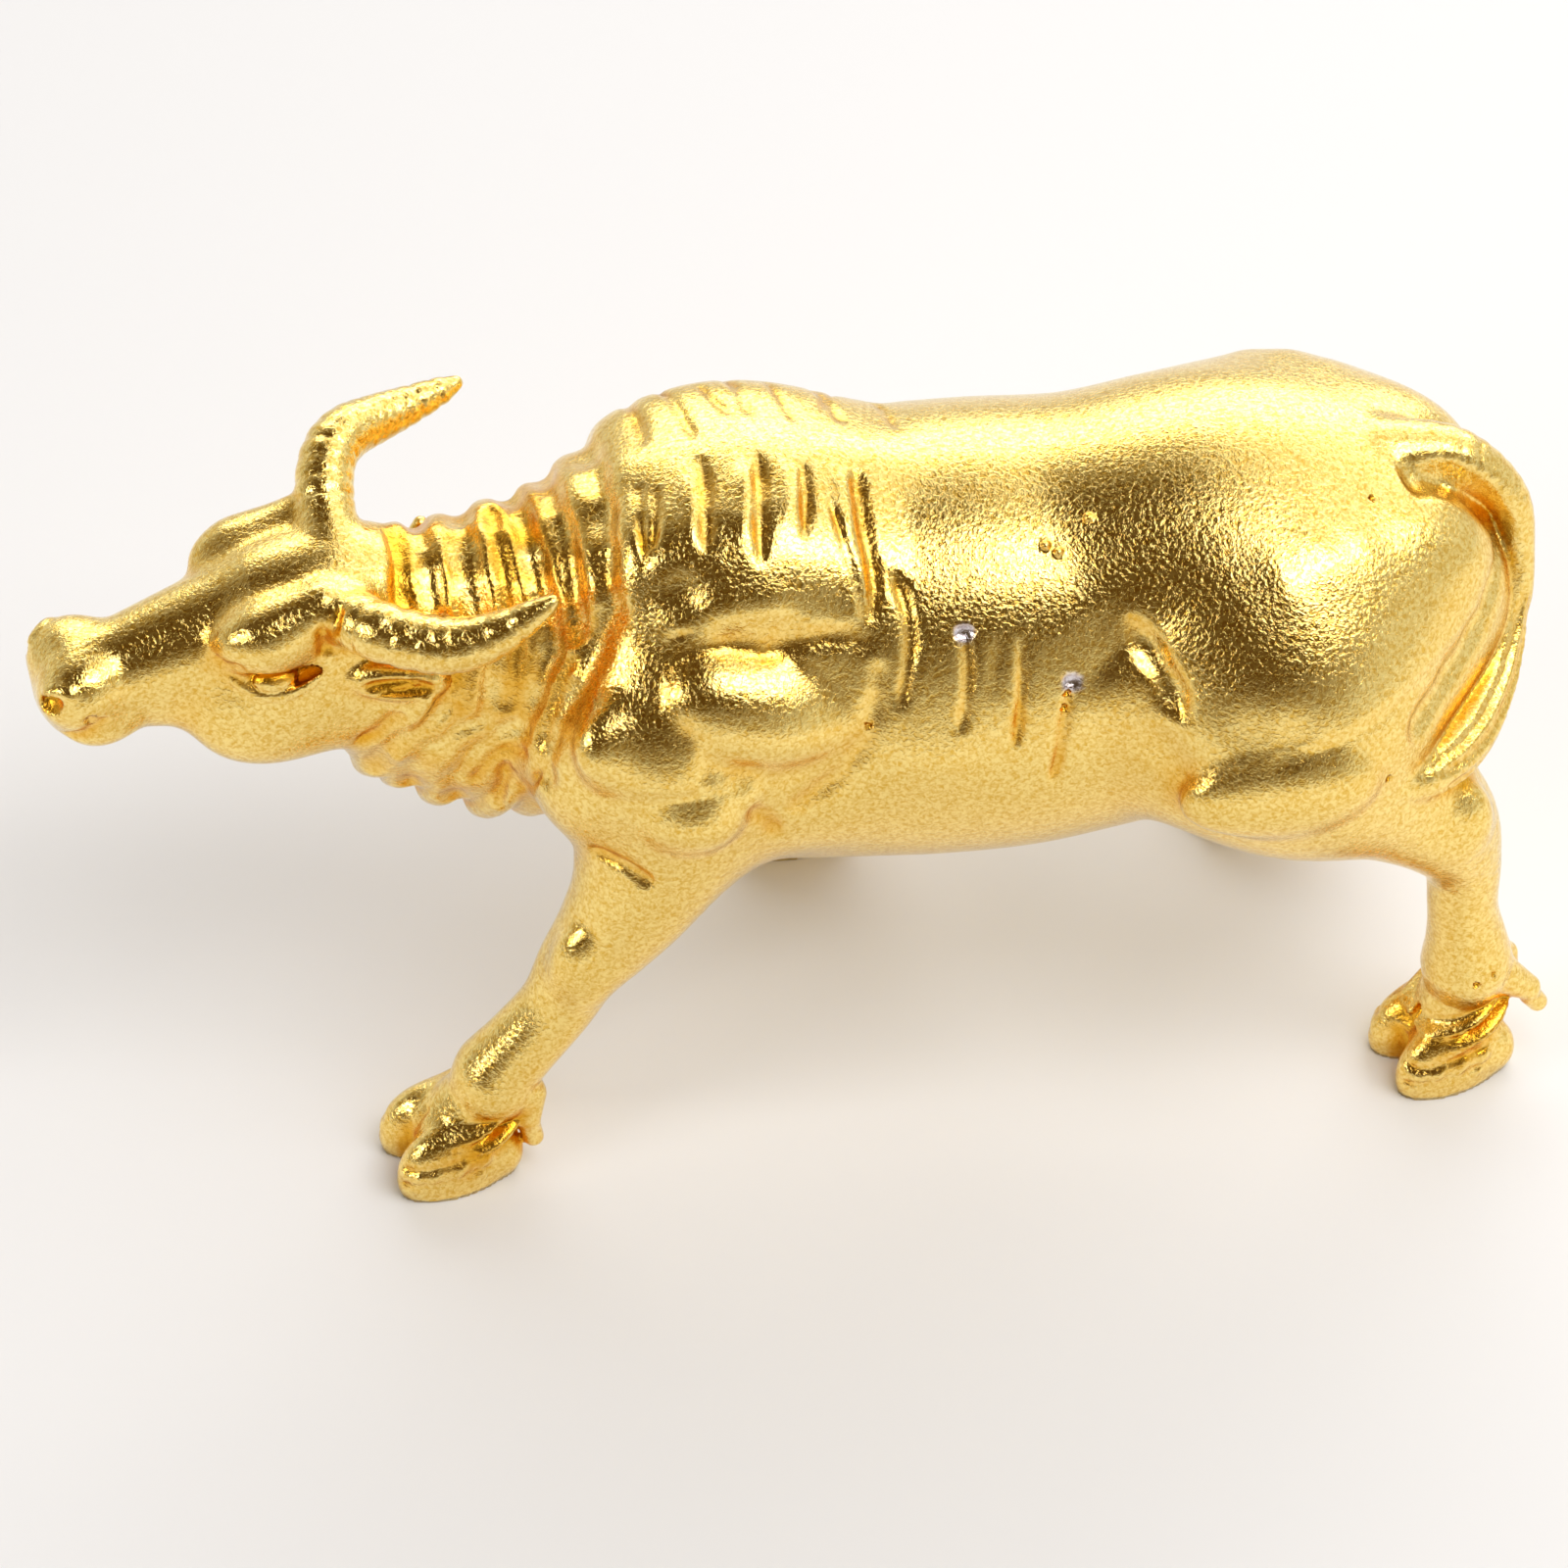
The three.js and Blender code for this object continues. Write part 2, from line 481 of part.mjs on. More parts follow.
async function bullGeometry() {
  const field = new Field();
  trunk(field);
  neck(field);
  head(field);
  horns(field);
  legs(field);
  for (const one of FEET) foot(field, one);
  chain(field, curve(TAIL, 34), 0.6);
  neckFolds(field);
  dewlap(field);
  for (const one of CREASES) crease(field, one);
  field.inBox([-99, -99, -99], [99, 99, 99], (x, y, z, value) => Math.max(value, -z));
  tidySigns(field);
  const fine = skin(field);
  const points = fine.getAttribute('position');
  const soleLayer = field.lines[2].find((z) => z > 0);
  for (let n = 0; n < points.count; n++) {
    if (points.getZ(n) <= soleLayer) points.setZ(n, 0);
  }
  const spare = points.count - TRIANGLES / 2;
  const geometry = await new SimplifyModifier().modify(fine, spare);
  geometry.computeBoundingBox();
  const { min, max } = geometry.boundingBox;
  geometry.translate(-(min.x + max.x) / 2, -(min.y + max.y) / 2, -min.z);
  geometry.computeVertexNormals();
  return geometry;
}

const gilt = new THREE.MeshStandardMaterial({ color: 0xd9a93c, metalness: 1, roughness: 0.22 });
const bull = new THREE.Mesh(await bullGeometry(), gilt);
bull.name = 'bull';

const group = new THREE.Group();
group.add(bull);

export default group;
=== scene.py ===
"""A gilt cast walking ox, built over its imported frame.

The animal is one casting. Its form is written as a list of steps, anatomical group by group; together
they give the signed distance from any point to the skin, below zero inside the metal. One fine mesh is
then laid on the zero surface. The form is in millimetres, with the head towards -X, the left flank
towards -Y and the ground at z = 0.
"""

import bpy
import numpy as np
from mathutils import Matrix


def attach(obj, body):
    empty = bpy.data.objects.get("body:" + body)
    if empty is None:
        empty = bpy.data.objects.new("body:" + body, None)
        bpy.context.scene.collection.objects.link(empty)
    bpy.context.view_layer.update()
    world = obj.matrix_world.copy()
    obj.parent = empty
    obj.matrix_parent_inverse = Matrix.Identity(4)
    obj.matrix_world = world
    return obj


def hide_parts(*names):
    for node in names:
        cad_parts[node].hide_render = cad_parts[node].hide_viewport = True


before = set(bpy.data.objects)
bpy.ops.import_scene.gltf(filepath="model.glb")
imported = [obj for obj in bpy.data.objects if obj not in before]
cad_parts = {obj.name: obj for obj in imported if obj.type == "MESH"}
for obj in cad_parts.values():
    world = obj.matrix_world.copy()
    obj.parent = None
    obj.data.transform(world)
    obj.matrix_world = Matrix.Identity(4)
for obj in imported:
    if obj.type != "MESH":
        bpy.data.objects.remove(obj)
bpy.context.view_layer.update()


# TRUNK
# Barrel, shoulders with the withers, and haunches with the rump: the thick of the casting, smooth skin
# over rounded muscle. The master was modelled by hand, so the two flanks are only nearly alike.
form = []                # steps (lowest corner, highest corner, change) in the order they are applied


def axes(yaw=0.0, pitch=0.0, roll=0.0):
    """Rows forward, left and up of something that faces -X before it is turned to its left by yaw,
    nods down by pitch and leans by roll, in degrees: products of their sines and cosines."""
    y, p, r = np.radians([yaw, pitch, roll])
    forward = np.array([-np.cos(y) * np.cos(p), -np.sin(y) * np.cos(p), -np.sin(p)])
    side = np.array([np.sin(y), -np.cos(y), 0.0])
    top = np.cross(forward, side)
    return np.array([forward, side * np.cos(r) + top * np.sin(r), top * np.cos(r) - side * np.sin(r)])


def blend(value, distance, fillet, cut=False):
    """The lesser of two distances, rounded by a parabola where they differ by less than the fillet
    width, so that two bodies join smoothly. With cut, the second body is taken out of the first."""
    if cut:
        return -blend(-value, distance, fillet)
    h = np.clip(0.5 + 0.5 * (value - distance) / fillet, 0, 1)
    return value + (distance - value) * h - fillet * h * (1 - h)


def smooth(start, end, value):
    """Rises from 0 at start to 1 at end, along 3 t^2 - 2 t^3."""
    t = np.clip((value - start) / (end - start), 0, 1)
    return t * t * (3 - 2 * t)


def add_mass(centre, half, fillet, turn=axes(), cut=False):
    """An ellipsoid with half sizes along a frame of axes. Its distance is taken as n (n - 1) / m, with n
    the length of the offset over the half sizes and m its length over their squares."""
    centre, half = np.array(centre, float), np.array(half, float)
    reach = np.sqrt((turn.T ** 2) @ (half + fillet + 3) ** 2)

    def change(points, value):
        q = (points - centre) @ turn.T
        near = np.linalg.norm(q / half, axis=1)
        slope = np.linalg.norm(q / half ** 2, axis=1) + 1e-9
        return blend(value, near * (near - 1) / slope, fillet, cut)

    form.append((centre - reach, centre + reach, change))


add_mass([8.5, 0, 33.2], [20, 14.2, 15.2], 1)                                 # barrel
add_mass([19.0, 0, 33.9], [14, 12.7, 13.5], 5)                                # loin and belly
add_mass([-3.5, 0, 33.0], [11.5, 11.8, 14.2], 6)                              # chest
add_mass([-3.0, 0, 43.4], [12.0, 5.2, 6.6], 3)                                # withers
add_mass([31, 0, 35.7], [16.5, 13.0, 12.8], 6)                                # haunches
add_mass([29.3, 0, 42.4], [12.1, 10.5, 7.3], 4)                               # rump
for side in (1, -1):
    add_mass([-3.9, 4.7 * side, 42.1], [10.2, 5.7, 7.2], 3.5, axes(0, 0, 10 * side))    # shoulder blade
    add_mass([38.2, 4.5 * side, 41.6], [6.4, 4.2, 5.0], 3, axes(0, 0, 15 * side))       # pin bone
    add_mass([30.0, 10.4 * side, 31.9], [8.0, 5.5, 6.1], 3.5)                           # thigh


# NECK
# A short neck that carries the head low and forward: four masses that overlap, each slimmer than the
# last, cast in one with the trunk.
for centre, half in (
    ([-11, 0, 33.2], [6, 9.5, 12.6]),
    ([-16, -0.3, 33.4], [5, 8.4, 11.9]),
    ([-20.5, -1, 34.1], [5, 7.4, 10.8]),
    ([-25, -1.8, 35.3], [5, 6.4, 9.3]),
):
    add_mass(centre, half, 3.5, axes(6, -10))


# LEGS
# Muscled down to the knee and hock, then lean shanks, in mid-stride: the near fore reaches forward and
# the near hind pushes back. The far pair stands under the body.
def curve(points, count):
    """Points on a Catmull-Rom curve through the given rows, all columns alike."""
    p = np.array(points, float)
    p = np.vstack([2 * p[0] - p[1], p, 2 * p[-1] - p[-2]])
    s = np.linspace(0, len(points) - 1 - 1e-9, count)
    n = s.astype(int)
    t = (s - n)[:, None]
    a, b, c, d = p[n], p[n + 1], p[n + 2], p[n + 3]
    return 0.5 * (2 * b + (c - a) * t + (2 * a - 5 * b + 4 * c - d) * t ** 2
                  + (3 * b - a - 3 * c + d) * t ** 3)


def add_chain(points, fillet, cut=False, waist=None):
    """Tapered bones from each point (x, y, z, radius) to the next: the distance to a bone is the
    distance to its axis less the radius at the nearest point of the axis. The radius may be less by a
    waist, worked out from the share of the chain's length."""
    points = np.array(points, float)
    reach = points[:, 3].max() + fillet + 3
    starts, ends = points[:-1], points[1:]

    def change(where, value):
        distance = np.full(len(where), np.inf)
        for n, (a, b) in enumerate(zip(starts, ends)):
            axis = b[:3] - a[:3]
            offset = where - a[:3]
            t = np.clip(offset @ axis / (axis @ axis + 1e-12), 0, 1)
            gap = np.linalg.norm(offset - t[:, None] * axis, axis=1) - (a[3] + (b[3] - a[3]) * t)
            if waist:
                gap += waist((n + t) / len(starts))
            distance = np.minimum(distance, gap)
        return blend(value, distance, fillet, cut)

    form.append((points[:, :3].min(0) - reach, points[:, :3].max(0) + reach, change))


for leg, count, fillet in (
    ([[-8.0, -8.6, 34, 7.6], [-7.9, -9.8, 28, 6.0], [-10.1, -11.4, 22.8, 4.4], [-12.1, -12.0, 19.3, 3.5],
      [-14.2, -12.5, 16.3, 2.85], [-15.9, -12.9, 13.0, 2.5], [-18.2, -13.4, 10.1, 2.55],
      [-20.0, -13.7, 7.9, 2.75]], 42, 4),
    ([[31.5, -8.0, 35.6, 9.6], [33.6, -9.2, 30.6, 7.5], [38.3, -9.8, 26.9, 5.2], [42.0, -9.8, 23.4, 3.9],
      [43.9, -9.7, 19.4, 2.65], [44.3, -9.7, 15, 2.35], [44.8, -9.6, 11.5, 2.7],
      [45.0, -9.6, 9.6, 3.05]], 40, 5),
    ([[-6, 9.0, 34, 7.5], [-4, 10.2, 28, 5.6], [-2.4, 12, 21.5, 3.8],
      [-0.6, 13.6, 15, 2.7], [1.4, 14.6, 10, 2.3], [3.2, 15.2, 7.4, 2.8]], 30, 3.5),
    ([[33.0, 8.0, 35.6, 9.2], [33.0, 9.8, 31, 6.6], [34.6, 11.6, 26, 4.1],
      [37.6, 13.0, 20.8, 2.9], [37.0, 14.2, 12.8, 2.2], [36.2, 14.8, 8.2, 2.8]], 34, 5),
):
    add_chain(curve(leg, count), fillet)
for side in (1, -1):
    add_mass([-12.6, -9.6 * side, 31.6], [4.2, 4.2, 5.5], 2)
add_mass([0.3, -9.2, 30.6], [5, 4, 5.0], 2.5)


# MUSCLES
# Shallow swellings and hollows of the shoulder and thigh. They and all finer lines are laid on the skin
# along curves, as the modeller drew them with a tool.
FAR = 20.0               # distance given to points that no step of the form reaches
NUDGE = 0.05             # reach of the tetrahedron that a gradient is taken over
BACKBONE = 33            # height of the axis that places on the flanks are measured round
OUTSIDE = 22.0           # radius round that axis that clears the trunk


def distance(points):
    """Signed distance to the skin: each step of the form changes the value of the points in its box."""
    value = np.full(len(points), FAR)
    x, y, z = np.ascontiguousarray(points.T)
    for low, high, change in form:
        near = np.flatnonzero((x > low[0]) & (x < high[0]) & (y > low[1]) & (y < high[1])
                              & (z > low[2]) & (z < high[2]))
        if len(near):
            value[near] = change(points[near], value[near])
    return np.maximum(value, -z)


def slope(points):
    """Gradient of the distance, from its values at the corners of a small tetrahedron."""
    corners = np.array([[1, -1, -1], [-1, -1, 1], [-1, 1, -1], [1, 1, 1]], float)
    return sum(corner * distance(points + NUDGE * corner)[:, None] for corner in corners) / (4 * NUDGE)


def on_skin(lines):
    """Moves the points of lines near the skin onto it, by Newton steps along the gradient."""
    points = np.concatenate([np.array(line, float) for line in lines])
    for _ in range(3):
        gradient = slope(points)
        points -= gradient * (distance(points) / np.maximum((gradient ** 2).sum(1), 0.2))[:, None]
    return np.split(points, np.cumsum([len(line) for line in lines])[:-1])


def add_line(points, half, depth, sharp=2.0, fade=1.5, count=14):
    """Presses a groove along a line on the skin, or raises a ridge where the depth is below zero: the
    depth times exp(-(d / half)^sharp), with d the distance to the line, left out past 3 half widths, or
    2.2 for the blunter ones. It fades in and out over a length at the ends, and swells and thins by a
    fifth on its way."""
    line = curve(points, count)
    starts, steps = line[:-1], np.diff(line, axis=0)
    lengths = np.linalg.norm(steps, axis=1)
    begin = np.concatenate([[0], np.cumsum(lengths)])
    reach = half * (3 if sharp < 1.9 else 2.2)

    def change(where, value):
        found = np.flatnonzero(np.abs(value) < reach + 0.5)
        spot = where[found]
        square, along = np.full(len(spot), np.inf), np.zeros(len(spot))
        for a, step, length, first in zip(starts, steps, lengths, begin):
            offset = spot - a
            t = np.clip(offset @ step / (length * length + 1e-12), 0, 1)
            offset -= t[:, None] * step
            gap = np.einsum("ij,ij->i", offset, offset)
            nearer = gap < square
            square = np.where(nearer, gap, square)
            along = np.where(nearer, first + t * length, along)
        press = smooth(0, fade, along) * smooth(0, fade, begin[-1] - along)
        press *= 1 + 0.2 * np.sin(1.9 * along + begin[-1])
        value = value.copy()
        value[found] += depth * press * np.exp(-(np.sqrt(square) / half) ** sharp)
        return value

    form.append((line.min(0) - reach, line.max(0) + reach, change))


def draw_on_flank(rows, sides=(1, -1)):
    """Adds a line for each row (points, half width, depth, sharpness, fade) and flank. Points are (x,
    degrees); the degrees go round an axis inside the trunk, from the middle of the back down the left
    flank. Each point starts outside and moves towards the axis by its distance to the skin."""
    lines = [[(x, side * turn) for x, turn in row[0]] for side in sides for row in rows]
    x, turn = np.concatenate([np.array(line, float) for line in lines]).T
    away = np.stack([0 * x, -np.sin(np.radians(turn)), np.cos(np.radians(turn))], 1)
    axis = np.stack([x, 0 * x, 0 * x + BACKBONE], 1)
    radius = np.full(len(x), OUTSIDE)
    for _ in range(14):
        radius -= 0.85 * distance(axis + radius[:, None] * away)
    spots = np.split(axis + radius[:, None] * away, np.cumsum([len(line) for line in lines])[:-1])
    for spot, row in zip(spots, list(rows) * len(sides)):
        add_line(spot, *row[1:])


draw_on_flank((
    ([(18.0, 43), (20.0, 52), (22.0, 62)], 3.4, 0.5, 2, 4.5),                 # hollow behind the ribs
    ([(-10.6, 34), (-7.5, 35), (-4.0, 34)], 1.5, 0.4, 2, 3),                  # hollow before the withers
    ([(-11.0, 43), (-6.5, 41), (-2.0, 39), (2.0, 41)], 1.4, -0.25, 2, 5),     # upper edge of the shoulder
    ([(-6.5, 52), (-2.5, 46), (2.0, 45)], 1.3, 0.35, 2, 3),                   # hollow under that edge
    ([(-7.4, 76), (-4.4, 79), (-1.2, 80)], 1.3, 0.4, 2, 2.5),                 # hollow over the forearm
    ([(-7.0, 85), (-4.5, 87), (-2.0, 91)], 1.7, -0.4, 2, 2.5),                # forearm under the elbow
    ([(4.0, 80), (9.0, 84), (13.0, 86)], 2.6, -0.3, 2, 5),                    # lower ribs
    ([(22.0, 71), (23.3, 80), (24.6, 90)], 1.4, 0.5, 2, 3),                   # fold before the stifle
    ([(25.5, 74), (30.0, 73), (35.0, 77)], 2.0, 0.35, 2, 4),                  # hollow over the stifle
    ([(28.5, 43), (33.0, 36), (37.5, 26)], 2.4, -0.3, 2, 4),                  # hip
))


# NECK FOLDS
# Loose skin gathered in rings round the neck: upright on the crest, drawn forward below, where the
# folds end in tongues that hang under the throat. Each ring lies between two grooves.
add_mass([-22.0, -0.4, 28.6], [7, 6.2, 3.8], 1, axes(6, -23))
for x, dip in ((-27.5, 25.2), (-25.9, 24.1), (-23.4, 22.3), (-20.3, 20.9), (-17.5, 20.9)):
    for side in (1, -1):
        add_chain(curve([
            [x + 4.3, -8.2 * side, dip + 11.8, 0.5],
            [x + 2.1, -7.2 * side, dip + 6.8, 1.0],
            [x + 0.5, -4.2 * side, dip + 2.8, 1.3],
            [x, -1.0, dip + 1.0, 1.15],
        ], 12), 0.35)
FOLDS = [
    # points (x, degrees), half width, depth, sharpness, fade
    ([(-12.8, -58), (-12.8, -40), (-12.8, -26), (-12.5, -14), (-12.0, -5), (-11.8, 7), (-11.7, 22),
      (-11.5, 37), (-12.2, 43), (-13.6, 57), (-14.7, 64), (-15.5, 72), (-16.1, 83), (-16.0, 96)],
     0.75, 0.95, 1.5, 2),
    ([(-15.0, -58), (-15.5, -40), (-15.4, -24), (-14.8, 1), (-14.1, 18), (-13.7, 34), (-13.7, 48)],
     0.58, 1.25, 1.5, 2),
    ([(-17.3, -64), (-18.1, -42), (-17.9, -24), (-17.3, -11), (-16.6, 7), (-16.1, 20), (-15.7, 30),
      (-15.3, 40), (-15.4, 48), (-16.2, 58), (-17.2, 74), (-18.2, 82), (-19.4, 87), (-20.7, 99),
      (-21.8, 121), (-22.2, 145)], 0.58, 1.35, 1.5, 2),
    ([(-18.7, -9), (-18.5, 7), (-18.0, 21), (-17.8, 31), (-17.5, 44), (-17.8, 60), (-18.7, 76)],
     0.45, 0.95, 1.5, 1.5),
    ([(-19.3, -64), (-20.6, -42), (-20.8, -20), (-20.7, -3), (-20.3, 9), (-20.2, 21), (-20.0, 31),
      (-19.3, 44), (-19.1, 58), (-19.5, 73), (-20.2, 80), (-22.5, 86), (-23.5, 97), (-24.6, 115),
      (-25.0, 140)], 0.58, 1.35, 1.5, 2),
    ([(-21.2, 4), (-20.9, 18), (-20.9, 30), (-20.4, 46), (-20.9, 64), (-21.5, 75), (-22.5, 80)],
     0.42, 0.9, 1.5, 1.5),
    ([(-21.6, -60), (-23.2, -42), (-23.7, -22), (-23.5, 2), (-23.2, 10), (-22.8, 18), (-22.5, 32),
      (-21.7, 46), (-21.7, 63), (-22.5, 74), (-23.3, 80), (-24.7, 85), (-26.4, 102), (-27.2, 130)],
     0.58, 1.25, 1.5, 2),
    ([(-23.7, 6), (-23.3, 24), (-23.3, 40)], 0.42, 0.68, 1.5, 1.5),
    ([(-25.0, -2), (-24.6, 3), (-24.3, 21), (-24.0, 40)], 0.45, 0.85, 1.5, 1.5),
    ([(-25.8, -44), (-26.0, -22), (-25.5, 1), (-25.2, 8), (-25.0, 21), (-24.9, 34)], 0.5, 1.0, 1.5, 1.5),
]
LOW_FOLDS = [
    ([(-13.6, 48), (-14.5, 54), (-15.2, 64), (-15.8, 73), (-16.3, 84)], 0.35, 0.45, 1.5, 1.5),
    ([(-17.0, 86), (-18.2, 92), (-19.2, 98), (-20.1, 108), (-20.9, 122)], 0.33, 0.45, 1.5, 1.5),
    ([(-18.0, 100), (-18.6, 106), (-19.1, 135)], 0.35, 0.5, 1.5, 1.5),
    ([(-16.0, 88), (-17.0, 101), (-17.7, 118)], 0.3, 0.4, 1.5, 1.5),
    ([(-24.4, 72), (-25.6, 75), (-26.6, 84), (-27.5, 90), (-28.7, 100)], 0.45, 0.7, 1.5, 1.5),
]
draw_on_flank(FOLDS, [1])
draw_on_flank([([(x, turn) for x, turn in row[0] if turn > 66], *row[1:])
               for row in FOLDS if sum(turn > 66 for _, turn in row[0]) > 2], [-1])
draw_on_flank(LOW_FOLDS)


# CREASES
# Cut into the skin with a tool: wrinkles over the withers with a soft roll before each, ribs, the
# hollow of the flank, and the seams between the muscles of shoulder and forearm. The bellies of the
# muscles on the left side were built up last, over the seams.
WITHERS = [
    # points (x, degrees), half width, depth
    ([(-9.2, 6), (-9.4, 17), (-9.1, 31)], 0.34, 0.5),
    ([(-8.2, 8), (-8.4, 18), (-8.9, 29)], 0.28, 0.4),
    ([(-5.3, 2), (-5.2, 12), (-5.3, 20), (-5.4, 29)], 0.4, 0.75),
    ([(-1.8, 2), (-1.7, 12), (-1.9, 21), (-2.1, 32)], 0.4, 0.75),
    ([(1.0, 4), (1.1, 14), (0.7, 27)], 0.33, 0.55),
    ([(4.4, 4), (4.5, 14), (4.7, 24), (5.1, 35), (4.6, 46)], 0.4, 0.7),
]
draw_on_flank([([(x - 1.0, turn) for x, turn in line], 0.7, -0.18, 2, 2.5) for line, _, _ in WITHERS], [1])
draw_on_flank([(*row, 1.5, 2.5) for row in WITHERS], [1])
CREST = [
    ([(-10.3, -42), (-9.6, -28), (-9.0, -12), (-8.9, -3)], 0.4, 0.35),
    ([(-7.9, -34), (-6.9, -20), (-6.0, -8), (-5.4, -1)], 0.35, 0.3),
    ([(-5.2, -26), (-4.2, -16), (-2.9, -8)], 0.3, 0.25),
    ([(-3.6, -34), (-2.6, -20), (-1.9, -7)], 0.35, 0.3),
    ([(-0.9, -30), (0.0, -18), (0.9, -6)], 0.3, 0.25),
    ([(2.0, -34), (3.0, -22), (4.0, -8)], 0.33, 0.28),
    ([(6.2, -30), (6.9, -20), (7.4, -8)], 0.28, 0.2),
]
draw_on_flank([(*row, 1.6, 2) for row in CREST], [1])
CREASES = [
    # points (x, degrees), half width, depth, sharpness
    ([(2.4, 13), (3.3, 26), (3.9, 34), (4.4, 46)], 0.3, 0.2, 2),
    ([(6.0, 30), (6.9, 38), (7.2, 45), (7.2, 51), (6.8, 59), (6.4, 68)], 0.36, 0.65, 1.5),
    ([(10.6, 45), (10.8, 56), (10.6, 66), (10.1, 75)], 0.34, 0.6, 1.5),
    ([(14.1, 48), (14.2, 60), (13.7, 81)], 0.32, 0.55, 1.5),
    ([(17.3, 61), (16.8, 74), (16.1, 94)], 0.32, 0.5, 1.5),
    ([(12.4, 47), (12.6, 55), (12.3, 66)], 0.5, 0.12, 2),
    ([(22.4, 55), (23.0, 61), (23.6, 66)], 0.25, 0.3, 1.6),
    ([(-7.6, 72), (-6.6, 66), (-5.3, 60), (-3.5, 54), (-1.0, 49), (1.2, 47), (3.4, 47), (5.2, 51)],
     0.8, 0.36, 1.7),
    ([(5.2, 52), (5.2, 60), (4.8, 68), (4.0, 77), (2.3, 87), (-1.0, 98)], 0.75, 0.5, 1.8),
    ([(-8.6, 47), (-7.4, 45), (-6.0, 44)], 0.3, 0.25, 1.6),
    ([(-3.6, 90), (-2.1, 98), (-1.2, 108)], 0.5, 0.5, 1.7),
]
draw_on_flank([(*row, 2) for row in CREASES])
draw_on_flank([([(20.7, 44), (21.8, 51), (23.0, 59), (23.8, 66), (24.4, 72)], 0.6, 1.7, 1.5, 3.4)])
draw_on_flank([([(-13.6, 112), (-11.8, 110), (-10.8, 110), (-9.2, 113)], 0.45, 0.7, 1.6, 1.2)], [1])
for place, half, lie in (
    ([-2.6, -12.65, 38.95], [5.6, 2.2, 3.3], axes(0, -20, 35)),               # long head of the triceps
    ([-11.4, -12.9, 36.9], [3.1, 2.0, 2.9], axes(35, 0, 20)),                 # point of the shoulder
    ([-6.8, -15.25, 31.8], [2.8, 1.7, 2.1], axes(0)),                         # head of the forearm
    ([30.2, -16.8, 33.4], [6.2, 1.9, 3.2], axes(0, 8)),                       # stifle
    ([-14.2, -14.25, 18.0], [1.9, 1.5, 3.0], axes(0)),                        # knee
    ([43.3, -12.0, 25.4], [1.8, 1.5, 2.6], axes(0)),                          # hock
):
    add_mass(place, half, 1.2, lie)


# HEAD
# Long wedge of a head turned a little to the left: skull, jaw and cheeks, a straight nose and a broad
# blunt muzzle, heavy brows over deep-set eyes, and nostrils punched with a tool.
POLL = np.array([-28.4, -2.0, 43.5])
HEAD_YAW, HEAD_PITCH = 12, 17
head = axes(HEAD_YAW, HEAD_PITCH)


def at_head(forward, left, up):
    """The point that lies forward, left and up of the poll, along the head's own axes."""
    return POLL + forward * head[0] + left * head[1] + up * head[2]


def head_mass(place, half, fillet, cut=False, yaw=0.0, pitch=0.0, roll=0.0):
    """An ellipsoid placed and turned in the head's axes."""
    add_mass(at_head(*place), half, fillet, axes(HEAD_YAW + yaw, HEAD_PITCH + pitch, roll), cut)


def draw_on_head(rows, sides=(1, -1)):
    """Adds a line for each row (points, half width, depth, sharpness, fade) and side. Points are
    forward, left and up of the poll, given for the left side."""
    lines = on_skin([[at_head(u, side * v, w) for u, v, w in row[0]] for side in sides for row in rows])
    for line, row in zip(lines, list(rows) * len(sides)):
        add_line(line, *row[1:])


head_mass([2, 0, -3], [6.0, 5.3, 5.6], 2)                                         # skull
head_mass([6.0, 0, -6.6], [7.4, 4.2, 5.2], 2.5)                                   # jaw
add_chain([[*at_head(6, 0, -1.6), 4.3], [*at_head(17, 0, -0.7), 2.9]], 2.5)       # nose
add_chain([[*at_head(8, 0, -5.3), 3.5], [*at_head(17, 0, -2.8), 2.2]], 2)         # under it, to the chin
head_mass([18.3, 0, -1.1], [3.0, 3.5, 3.4], 2.0)                                  # muzzle
for side in (1, -1):
    head_mass([6.2, 2.9 * side, -6.6], [6.4, 2.9, 4.6], 2.2)                      # cheek
    head_mass([6.0, 4.1 * side, 0.3], [3.1, 1.9, 2.1], 1.7, pitch=-14)            # brow
    add_chain([[*at_head(5.6, 4.4 * side, 0.5), 1.6], [*at_head(1.8, 4.2 * side, 1.0), 1.5]], 1.6)
    head_mass([18.4, 2.2 * side, 0.6], [2.3, 1.7, 1.8], 1.5)                      # flesh of the nostril
    head_mass([17.6, 1.7 * side, -3.0], [2.2, 1.5, 1.4], 1.0)                     # lower lip
for side in (1, -1):
    head_mass([6.4, 5.3 * side, -2.3], [3.2, 1.1, 0.95], 0.3, True, yaw=10 * side, pitch=-18)    # socket
    head_mass([6.6, 4.6 * side, -2.7], [1.5, 1.0, 0.85], 0.1, pitch=-18)          # eyeball
    head_mass([20.2, 3.4 * side, 1.3], [0.95, 1.3, 0.62], 0.2, True, pitch=30)    # nostril
